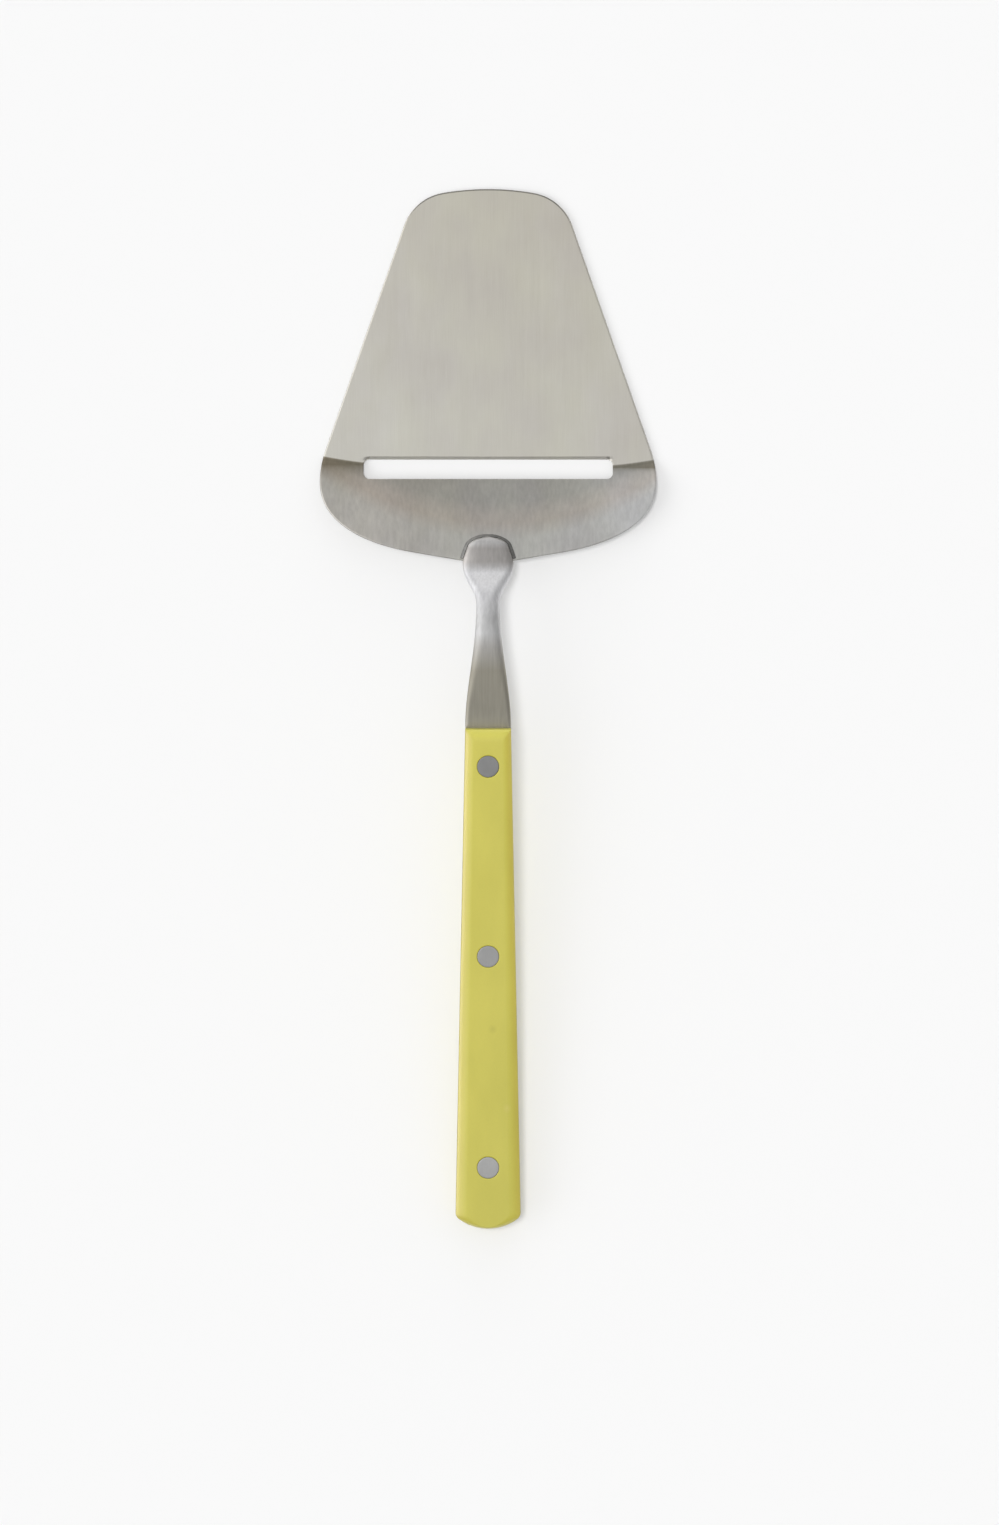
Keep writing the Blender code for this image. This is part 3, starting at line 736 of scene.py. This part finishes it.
def rivet_sleeve_profile():
    """The tubular half, from the foot of its bore, over its rim, to the middle of its head."""
    bottom = -HANDLE_THICK / 2
    ledge = bottom + RIVET_HEAD_THICK
    rim = HANDLE_THICK / 2 - RIVET_HEAD_THICK - SEAT
    head = RIVET_HEAD / 2
    sleeve = RIVET_SLEEVE / 2
    bore = RIVET_PIN / 2 + SEAT / 2
    inside = [(0, ledge), (bore, ledge), (bore, rim)]
    outside = [(sleeve, rim), (sleeve, ledge), (head, ledge), (head, bottom)]
    return inside + outside + [(head - RIVET_LAND, bottom), (0, bottom)]


def add_object(name, data):
    """A new object in the scene."""
    item = bpy.data.objects.new(name, data)
    bpy.context.scene.collection.objects.link(item)
    return item


def finished_mesh(name, shape, material):
    """A mesh of a shape in one material."""
    mesh = bpy.data.meshes.new(name)
    shape.to_mesh(mesh)
    shape.free()
    mesh.materials.append(material)
    return mesh


def add_piece(name, shape, node, material):
    """A finished piece in place of a solid of the frame."""
    mesh = finished_mesh(name, shape, material)
    mesh.shade_smooth()
    mesh.set_sharp_from_angle(angle=SHARP_ANGLE)
    piece = add_object(name, mesh)
    piece.modifiers.new("Even shading", "WEIGHTED_NORMAL").keep_sharp = True
    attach(piece, "root")
    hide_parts(node)
    return piece


def feed(tree, socket, value):
    """Link an input to an output, or give it a value."""
    if isinstance(value, bpy.types.NodeSocket):
        tree.links.new(value, socket)
    else:
        socket.default_value = value


def add_node(tree, kind, settings=None, **inputs):
    """A shader node, with its settings, and with its inputs by name."""
    node = tree.nodes.new(kind)
    for name, value in (settings or {}).items():
        setattr(node, name, value)
    for name, value in inputs.items():
        feed(tree, node.inputs[name.replace("_", " ")], value)
    return node


def calculate(tree, operation, *values):
    """The result of a sum on numbers and outputs."""
    node = add_node(tree, "ShaderNodeMath", {"operation": operation})
    for socket, value in zip(node.inputs, values):
        feed(tree, socket, value)
    return node.outputs["Value"]


def ramp(tree, factor, stops):
    """Colours, or greys given as one number, along a factor."""
    node = add_node(tree, "ShaderNodeValToRGB")
    elements = node.color_ramp.elements
    while len(elements) < len(stops):
        elements.new(1.0)
    for element, (position, colour) in zip(elements, stops):
        element.position = position
        element.color = (*colour, 1) if isinstance(colour, tuple) else (colour, colour, colour, 1)
    tree.links.new(factor, node.inputs[0])
    return node.outputs["Color"]


def stretched_noise(tree, stretch, detail):
    """Noise on the piece's own coordinates, in features per metre along each axis."""
    place = add_node(tree, "ShaderNodeTexCoord").outputs["Object"]
    mapped = add_node(tree, "ShaderNodeMapping", Vector=place, Scale=stretch).outputs["Vector"]
    noise = add_node(tree, "ShaderNodeTexNoise", Vector=mapped, Scale=1.0, Detail=detail, Roughness=0.5)
    return noise.outputs[0]


def place_on(tree, axis):
    """Where a point of the piece lies along an axis of the frame."""
    place = add_node(tree, "ShaderNodeTexCoord").outputs["Object"]
    return add_node(tree, "ShaderNodeSeparateXYZ", Vector=place).outputs[axis]


def facing(tree, axis):
    """How far a face of the piece looks along an axis of the frame."""
    normal = add_node(tree, "ShaderNodeTexCoord").outputs["Normal"]
    return add_node(tree, "ShaderNodeSeparateXYZ", Vector=normal).outputs[axis]


def lying_flat(tree):
    """1 where a face of the piece lies flat, up or down, and 0 where it stands upright."""
    return calculate(tree, "ABSOLUTE", facing(tree, "Z"))


def part_along(tree, start, end):
    """How far along the slicer a point of the piece lies, from 0 at one place to 1 at another."""
    past = calculate(tree, "SUBTRACT", place_on(tree, "Y"), start)
    return calculate(tree, "DIVIDE", past, end - start)


def part_across(tree, reach):
    """How far across the slicer a point of the piece lies, from 0 at its left reach to 1 at its right."""
    return calculate(tree, "MULTIPLY_ADD", place_on(tree, "X"), 0.5 / reach, 0.5)


def shaded(tree, colour, shade, factor=1.0):
    """A colour multiplied by another as far as a factor says."""
    node = add_node(tree, "ShaderNodeMix", {"data_type": "RGBA", "blend_type": "MULTIPLY"})
    for name, value in (("Factor_Float", factor), ("A_Color", colour), ("B_Color", shade)):
        feed(tree, next(socket for socket in node.inputs if socket.identifier == name), value)
    return next(socket for socket in node.outputs if socket.identifier == "Result_Color")


def toned(tree, colour, factor, stops, share=1.0):
    """A colour multiplied by a ramp along a factor, as far as a share says."""
    return shaded(tree, colour, ramp(tree, factor, stops), share)


def mixed(tree, *weighted):
    """A weighted sum of grey patterns."""
    total = None
    for pattern, weight in weighted:
        share = calculate(tree, "MULTIPLY", pattern, weight)
        total = share if total is None else calculate(tree, "ADD", total, share)
    return total


def new_finish(name, metallic):
    """A material, its nodes and its shader."""
    material = bpy.data.materials.new(name)
    material.use_nodes = True
    shader = material.node_tree.nodes["Principled BSDF"]
    shader.inputs["Metallic"].default_value = metallic
    return material, material.node_tree, shader


def dress(tree, shader, colour, roughness, height, depth):
    """Link a finish's colour, roughness and relief to its shader."""
    bump = add_node(tree, "ShaderNodeBump", Height=height, Strength=1.0, Distance=depth)
    tree.links.new(colour, shader.inputs["Base Color"])
    tree.links.new(roughness, shader.inputs["Roughness"])
    tree.links.new(bump.outputs["Normal"], shader.inputs["Normal"])


def crease_run(tree):
    """Distance behind the blade's crease, as the mesh has it."""
    slot_half = SLOT_WIDTH / 2
    across = place_on(tree, "X")
    beyond = calculate(tree, "SUBTRACT", calculate(tree, "ABSOLUTE", across), slot_half)
    part = calculate(tree, "DIVIDE", calculate(tree, "MAXIMUM", beyond, 0.0), HALF_BLADE - slot_half)
    power = calculate(tree, "POWER", part, CREASE_SWEEP_POWER)
    crease = calculate(tree, "MULTIPLY_ADD", power, CREASE_SWEEP, CREASE_Y)
    crease = calculate(tree, "MULTIPLY_ADD", across, -CREASE_SKEW, crease)
    return calculate(tree, "SUBTRACT", crease, place_on(tree, "Y"))


def behind_crease(tree, run):
    """0 in front of the crease and 1 behind it, with a sharp change."""
    started = calculate(tree, "MULTIPLY_ADD", run, 1 / CREASE_LINE, 1.0)
    return calculate(tree, "MINIMUM", calculate(tree, "MAXIMUM", started, 0.0), 1.0)


def across_blade(tree, left, right):
    """A value that goes from one at the blade's left side to another at its right side."""
    slope = (right - left) / (2 * HALF_BLADE)
    return calculate(tree, "MULTIPLY_ADD", place_on(tree, "X"), slope, (left + right) / 2)


def crease_shade(tree, run):
    """1 from the crease to where the heel starts, and fading behind that, more slowly on the left."""
    fade = across_blade(tree, CREASE_FADE_LEFT, CREASE_FADE_RIGHT)
    depth = across_blade(tree, CREASE_DEPTH_LEFT, CREASE_DEPTH_RIGHT)
    heel_start = calculate(tree, "SUBTRACT", EDGE_Y, depth)
    past = calculate(tree, "SUBTRACT", heel_start, place_on(tree, "Y"))
    behind = calculate(tree, "DIVIDE", calculate(tree, "MAXIMUM", past, 0.0), fade)
    faded = calculate(tree, "EXPONENT", calculate(tree, "MULTIPLY", behind, -1.0))
    return calculate(tree, "MULTIPLY", behind_crease(tree, run), faded)


def painted_dark_zone(tree):
    """0 at the slot's rear edge, 1 at the bowed end of the zone painted darker as painted reflection, and
    on.
    """
    behind = calculate(tree, "SUBTRACT", EDGE_Y - SLOT_GAP, place_on(tree, "Y"))
    from_middle = calculate(tree, "SUBTRACT", place_on(tree, "X"), DARK_ZONE_SHIFT)
    across = calculate(tree, "DIVIDE", from_middle, DARK_ZONE_HALF)
    bow = calculate(tree, "MULTIPLY", across, across)
    return calculate(tree, "MULTIPLY_ADD", behind, 1 / DARK_ZONE_DEPTH, bow)


def plate_painted_light(tree, colour, plate, across):
    """The plate's painted light: paler on its left where light falls, with painted shade on the rims at
    its ends and a painted highlight on those at its sides.
    """
    # Painted light: paler on the plate's left, where light falls
    colour = toned(tree, colour, across, [(0.2, (1.03, 1.035, 1.05)), (0.5, 1.0)], plate)
    # Painted shade on the rims at the tip and the slot, and a painted highlight on the side rims
    forward = calculate(tree, "MULTIPLY_ADD", facing(tree, "Y"), 0.5, 0.5)
    sideways = calculate(tree, "ABSOLUTE", facing(tree, "X"))
    end_rim_shade_mask = calculate(tree, "MULTIPLY", plate, ramp(tree, sideways, [(0.5, 1.0), (0.65, 0.0)]))
    colour = toned(tree, colour, forward, [(0.1, 0.8), (0.25, 1.0), (0.52, 1.0), (0.72, 0.4)], end_rim_shade_mask)
    return toned(tree, colour, sideways, [(0.3, 1.0), (0.65, 1.3)], plate)


def heel_scratches_and_painted_light(tree, colour, heel, across):
    """The heel's tones: scratched, with painted dark reflection in a bowed zone behind the slot and
    painted reflection across it that is palest at its right lobe.
    """
    # Painted reflection across the heel: its lobes lighter than its middle, the right lobe palest
    left = [(0.0, (0.89, 0.866, 0.852)), (0.15, (0.94, 0.912, 0.902)), (0.27, (0.80, 0.775, 0.777))]
    right = [(0.5, (0.875, 0.875, 0.89)), (0.75, (0.885, 0.882, 0.908)), (1.0, (1.12, 1.14, 1.205))]
    colour = toned(tree, colour, across, left + right, heel)
    scratches = stretched_noise(tree, (1300, 35, 1300), 3)
    colour = toned(tree, colour, scratches, [(0.3, 0.93), (0.7, 1.07)], heel)
    # Halved, because a ramp ends at 1 and the zone's tones run on past its end
    zone = calculate(tree, "MULTIPLY", painted_dark_zone(tree), 0.5)
    # Painted dark reflection close behind the slot, with a pinkish edge and lighter tones beyond it
    drawn = [(0.34, (0.81, 0.82, 0.83)), (0.54, (0.93, 0.905, 0.90))]
    beyond = [(0.66, (0.948, 0.91, 0.897)), (0.9, (1.03, 1.055, 1.095))]
    return toned(tree, colour, zone, drawn + beyond, heel)


def brushed_steel():
    """Blade: brushed along its length, with fine streaks and soft clouds, painted shade at its crease and
    on its upright rims, and painted light on its plate and heel.
    """
    material, tree, shader = new_finish("brushed_steel", 1.0)
    streaks = stretched_noise(tree, (1500, 25, 1500), 4)
    hairlines = stretched_noise(tree, (6000, 130, 6000), 2)
    clouds = stretched_noise(tree, (70, 55, 70), 3)
    tarnish = stretched_noise(tree, (80, 55, 80), 2)
    tone = mixed(tree, (clouds, 0.68), (streaks, 0.08), (hairlines, 0.24))
    colour = ramp(tree, tone, [(0.3, (0.565, 0.535, 0.462)), (0.7, (0.67, 0.646, 0.57))])
    colour = toned(tree, colour, tarnish, [(0.35, (1.0, 0.996, 1.022)), (0.65, (1.0, 1.002, 0.982))])
    along = part_along(tree, TIP_Y, EDGE_Y)
    colour = toned(tree, colour, along, [(0.1, 0.985), (0.9, (1.03, 1.045, 1.07))])
    run = crease_run(tree)
    heel = behind_crease(tree, run)
    plate = calculate(tree, "SUBTRACT", 1.0, heel)
    across = part_across(tree, HALF_BLADE)
    colour = plate_painted_light(tree, colour, plate, across)
    colour = heel_scratches_and_painted_light(tree, colour, heel, across)
    # Painted shade at the crease, where the bend turns the sheet away from the light overhead
    colour = shaded(tree, colour, (0.468, 0.446, 0.38, 1), crease_shade(tree, run))
    # Painted shade on faces that stand upright: the rims and the slot's ground edge
    colour = toned(tree, colour, lying_flat(tree), [(0.2, 0.45), (0.72, 1.0)])
    roughness = ramp(tree, mixed(tree, (streaks, 0.6), (clouds, 0.4)), [(0.3, 0.32), (0.7, 0.44)])
    relief = mixed(tree, (streaks, 0.4), (hairlines, 0.6))
    dress(tree, shader, colour, roughness, relief, BRUSH_DEPTH)
    return material


def satin_steel():
    """Neck: forged and satin finished, grained along it, with painted reflection bright at its bend and
    dark by the handle, and a painted highlight on its spade's left.
    """
    material, tree, shader = new_finish("satin_steel", 1.0)
    streaks = stretched_noise(tree, (1800, 60, 1800), 3)
    clouds = stretched_noise(tree, (160, 90, 160), 3)
    tone = mixed(tree, (clouds, 0.45), (streaks, 0.55))
    tip = (0.60, 0.59, 0.585)
    spade = (0.475, 0.455, 0.44)
    bend = (0.80, 0.80, 0.815)
    waist = (0.65, 0.65, 0.65)
    flare = (0.50, 0.487, 0.465)
    top = (0.372, 0.352, 0.296)
    top_end = (0.383, 0.363, 0.307)
    by_handle = (0.435, 0.415, 0.355)
    # Painted reflection along the neck: light where its bend faces the bright horizon ahead, dark by the
    # handle
    along = part_along(tree, REAR_Y + SPADE_OVERLAP, HANDLE_Y)
    spade_tones = [(0.02, tip), (0.05, spade), (0.12, spade), (0.18, bend), (0.3, bend)]
    waist_tones = [(0.42, waist), (0.5, waist), (0.575, flare)]
    top_tones = [(0.7, top), (0.9, top_end), (1.0, by_handle)]
    colour = ramp(tree, along, spade_tones + waist_tones + top_tones)
    colour = toned(tree, colour, tone, [(0.3, 0.80), (0.7, 1.10)])
    # A painted highlight on the spade's left side, where light falls, fading to painted shade on its
    # right
    spade_painted_highlight = [(0.03, 1.6), (0.1, 1.38), (0.22, 1.15), (0.36, 1.0), (0.65, 0.93), (1.0, 0.91)]
    on_spade = ramp(tree, along, [(0.1, 1.0), (0.17, 0.0)])
    colour = toned(tree, colour, part_across(tree, SPADE_WIDTH / 2), spade_painted_highlight, on_spade)
    roughness = ramp(tree, tone, [(0.3, 0.44), (0.7, 0.54)])
    relief = mixed(tree, (streaks, 0.5), (clouds, 0.5))
    dress(tree, shader, colour, roughness, relief, SATIN_DEPTH)
    return material


def weld_steel():
    """Bead: dark, as painted shade of the gap round the spade, and painted lighter on its left where
    light falls.
    """
    material, tree, shader = new_finish("weld_steel", 1.0)
    scale = stretched_noise(tree, (900, 900, 900), 4)
    # Painted shade: the bead is kept dark to stand for the shaded gap round the spade
    colour = ramp(tree, scale, [(0.3, (0.21, 0.21, 0.205)), (0.7, (0.31, 0.305, 0.295))])
    # Painted light: lighter on the bead's left, where light falls
    colour = toned(tree, colour, part_across(tree, SPADE_WIDTH / 2), [(0.2, 1.45), (0.6, 1.0)])
    roughness = ramp(tree, scale, [(0.3, 0.55), (0.7, 0.70)])
    dress(tree, shader, colour, roughness, scale, BEAD_DEPTH)
    return material


def face_mark(tree, place):
    """1 at a place across and along the upper scale's face, fading out round it."""
    centre = HANDLE_FRAME @ Vector((place[0], -place[1], HANDLE_THICK / 2))
    apart = add_node(tree, "ShaderNodeVectorMath", {"operation": "DISTANCE"})
    tree.links.new(add_node(tree, "ShaderNodeTexCoord").outputs["Object"], apart.inputs[0])
    apart.inputs[1].default_value = centre
    faded = calculate(tree, "MULTIPLY_ADD", apart.outputs["Value"], -1 / MARK_RADIUS, 1.0)
    return calculate(tree, "MAXIMUM", faded, 0.0)


def yellow_plastic():
    """Scales: moulded plastic, slightly mottled, with a fine dull grain, two small marks, painted light
    on the left, painted shade on the shoulders and a painted sheen at the front.
    """
    material, tree, shader = new_finish("yellow_plastic", 0.0)
    clouds = stretched_noise(tree, (110, 45, 110), 3)
    grain = stretched_noise(tree, (2500, 2500, 2500), 2)
    tone = mixed(tree, (clouds, 0.8), (grain, 0.2))
    colour = ramp(tree, tone, [(0.3, (0.53, 0.487, 0.053)), (0.7, (0.60, 0.55, 0.072))])
    along = part_along(tree, HANDLE_Y, HANDLE_Y - HANDLE_LENGTH)
    colour = toned(tree, colour, along, [(0.0, (1.055, 1.05, 1.02)), (1.0, (0.98, 0.98, 0.96))])
    # Painted light: lighter on the scale's left, where light falls, and darker on its right
    across = part_across(tree, HANDLE_BUTT_WIDTH / 2)
    colour = toned(tree, colour, across, [(0.2, (1.015, 1.005, 1.0)), (0.8, (0.965, 0.96, 0.95))])
    # Painted shade on the shoulders, darker and more orange where they turn aside
    sideways = calculate(tree, "ABSOLUTE", facing(tree, "X"))
    colour = toned(tree, colour, sideways, [(0.24, 1.0), (0.71, (0.94, 0.86, 0.62))])
    # A painted sheen on faces that look forward, such as the front chamfer
    colour = toned(tree, colour, facing(tree, "Y"), [(0.05, 1.0), (0.3, (1.05, 1.07, 1.17))])
    colour = shaded(tree, colour, (0.87, 0.865, 0.77, 1), face_mark(tree, PIT_PLACE))
    colour = shaded(tree, colour, (1.08, 1.06, 1.8, 1), face_mark(tree, SCUFF_PLACE))
    shader.inputs["IOR"].default_value = 1.55
    shader.inputs["Specular IOR Level"].default_value = 1.0
    roughness = ramp(tree, grain, [(0.3, 0.30), (0.7, 0.42)])
    dress(tree, shader, colour, roughness, grain, GRAIN_DEPTH)
    return material


def rivet_aluminium():
    """Rivets: soft metal, faced off and dulled by use, with painted reflection that brightens towards the
    butt.
    """
    material, tree, shader = new_finish("rivet_aluminium", 1.0)
    scuffs = stretched_noise(tree, (1500, 300, 1500), 4)
    clouds = stretched_noise(tree, (300, 300, 300), 2)
    tone = mixed(tree, (scuffs, 0.5), (clouds, 0.5))
    along = part_along(tree, HANDLE_Y, HANDLE_Y - HANDLE_LENGTH)
    # Painted reflection: the heads are lighter towards the butt, as they catch more light along the
    # sloping handle
    greys = [(0.08, (0.352, 0.352, 0.35)), (0.46, (0.488, 0.488, 0.484)), (0.9, (0.563, 0.563, 0.557))]
    colour = ramp(tree, along, greys)
    colour = toned(tree, colour, tone, [(0.3, 0.88), (0.7, 1.06)])
    roughness = ramp(tree, scuffs, [(0.3, 0.36), (0.7, 0.50)])
    dress(tree, shader, colour, roughness, scuffs, SCUFF_DEPTH)
    return material


def add_pieces():
    """Every piece of the slicer; returns the blade and the scales, which have lamps of their own."""
    steel = brushed_steel()
    satin = satin_steel()
    plastic = yellow_plastic()
    aluminium = rivet_aluminium()
    blade = add_piece("pressed_blade", blade_mesh(), "blade", steel)
    add_piece("forged_neck", loft(bar_sections), "neck_tang", satin)
    add_piece("weld_bead", loft(weld_sections), "neck_weld", weld_steel())
    upper = add_piece("upper_handle_scale", scale_mesh(0), "upper_scale", plastic)
    lower = add_piece("lower_handle_scale", scale_mesh(math.pi), "lower_scale", plastic)
    for place, distance in RIVETS.items():
        pin = turned_mesh(rivet_pin_profile(), distance)
        sleeve = turned_mesh(rivet_sleeve_profile(), distance)
        add_piece(f"{place}_pin", pin, f"{place}_rivet_pin", aluminium)
        add_piece(f"{place}_sleeve", sleeve, f"{place}_rivet_sleeve", aluminium)
    return blade, [upper, lower]


def pale_cloth():
    """White cloth with a faint glow, to the eye and in reflections alone, so that shadows stay pale."""
    material, tree, shader = new_finish("table_white", 0.0)
    shader.inputs["Base Color"].default_value = TABLE_COLOUR
    shader.inputs["Roughness"].default_value = 1.0
    shader.inputs["Specular IOR Level"].default_value = 0.0
    path = add_node(tree, "ShaderNodeLightPath")
    seen = calculate(tree, "MAXIMUM", path.outputs["Is Camera Ray"], path.outputs["Is Glossy Ray"])
    seen = calculate(tree, "MAXIMUM", seen, path.outputs["Is Transmission Ray"])
    glow = add_node(tree, "ShaderNodeEmission", Color=TABLE_GLOW, Strength=1.0)
    mix = add_node(tree, "ShaderNodeMixShader")
    tree.links.new(calculate(tree, "MULTIPLY", seen, TABLE_GLOW_SHARE), mix.inputs[0])
    tree.links.new(shader.outputs["BSDF"], mix.inputs[1])
    tree.links.new(glow.outputs["Emission"], mix.inputs[2])
    tree.links.new(mix.outputs["Shader"], tree.nodes["Material Output"].inputs["Surface"])
    return material


def add_table():
    """A wide table just under the slicer."""
    shape = bmesh.new()
    bmesh.ops.create_grid(shape, x_segments=1, y_segments=1, size=TABLE_REACH)
    bmesh.ops.translate(shape, verts=shape.verts[:], vec=(0, 0, -SEAT))
    table = add_object("table", finished_mesh("table", shape, pale_cloth()))
    return table


def add_dome():
    """A studio dome: bright overhead and on the horizon ahead, dimmer between, behind and aside."""
    world = bpy.data.worlds.new("studio")
    bpy.context.scene.world = world
    world.use_nodes = True
    tree = world.node_tree
    direction = add_node(tree, "ShaderNodeTexCoord").outputs["Generated"]
    split = add_node(tree, "ShaderNodeSeparateXYZ", Vector=direction)
    ahead = calculate(tree, "MULTIPLY_ADD", split.outputs["Y"], 0.5, 0.5)
    across = calculate(tree, "MULTIPLY_ADD", split.outputs["X"], 0.5, 0.5)
    behind = [(0.0, 0.35), (0.25, 0.45), (0.42, 0.92)]
    overhead = [(0.5, 1.0), (0.58, 0.96), (0.735, 0.67)]
    horizon = [(0.872, 0.62), (0.925, 0.78), (0.965, 1.1), (0.992, 1.45)]
    along = ramp(tree, ahead, behind + overhead + horizon)
    side = ramp(tree, across, [(0.0, 0.5), (0.25, 0.75), (0.5, 1.0), (0.75, 0.66), (1.0, 0.48)])
    level = calculate(tree, "MULTIPLY", along, side)
    background = tree.nodes["Background"]
    tree.links.new(level, background.inputs["Color"])
    background.inputs["Strength"].default_value = DOME_LEVEL


def add_lamp(name, light, place):
    """A lamp at a place, turned towards the slicer."""
    lamp = add_object(name, light)
    lamp.location = place
    lamp.rotation_euler = (-place).to_track_quat("-Z", "Y").to_euler()
    return lamp


def add_sheen(name, place, size, level):
    """A lit panel of a given radiance, seen in reflections alone."""
    panel = bpy.data.lights.new(name, "AREA")
    panel.shape = "RECTANGLE"
    panel.size, panel.size_y = size
    panel.energy = level * math.pi * size[0] * size[1]
    lamp = add_lamp(name, panel, place)
    lamp.visible_diffuse = False
    return lamp


def add_sun(name, place, spread, level):
    """A lamp far off, as wide as its spread, that doesn't show in reflections."""
    sun = bpy.data.lights.new(name, "SUN")
    sun.energy = level
    sun.angle = spread
    lamp = add_lamp(name, sun, place)
    lamp.visible_glossy = False
    return lamp


def gathered(name, *pieces):
    """A collection of pieces that a lamp is meant for."""
    group = bpy.data.collections.new(name)
    for piece in pieces:
        group.objects.link(piece)
    return group


def add_lamps(blade, scales, table):
    """An overhead key, a sheen from the left, a strip for the scales and a sun for the blade's shadow."""
    add_sun("key", KEY_PLACE, KEY_SPREAD, KEY_LEVEL)
    add_sheen("panel", PANEL_PLACE, PANEL_SIZE, PANEL_LEVEL)
    strip = add_sheen("strip", STRIP_PLACE, STRIP_SIZE, STRIP_LEVEL)
    strip.light_linking.receiver_collection = gathered("scales", *scales)
    side = add_sun("side", SIDE_PLACE, SIDE_SPREAD, SIDE_LEVEL)
    side.light_linking.receiver_collection = gathered("table", table)
    side.light_linking.blocker_collection = gathered("blade", blade)


def add_camera():
    """A long lens straight above the slicer."""
    lens = bpy.data.cameras.new("camera")
    lens.sensor_fit = "VERTICAL"
    lens.sensor_height = CAMERA_SENSOR
    lens.lens = CAMERA_SENSOR * CAMERA_DISTANCE / PHOTO_HEIGHT
    lens.clip_end = 2 * CAMERA_DISTANCE
    camera = add_object("camera", lens)
    camera.location = PHOTO_CENTRE + Vector((0, 0, CAMERA_DISTANCE))
    bpy.context.scene.camera = camera


blade, scales = add_pieces()
add_dome()
add_lamps(blade, scales, add_table())
add_camera()
bpy.context.scene.view_settings.view_transform = "Standard"
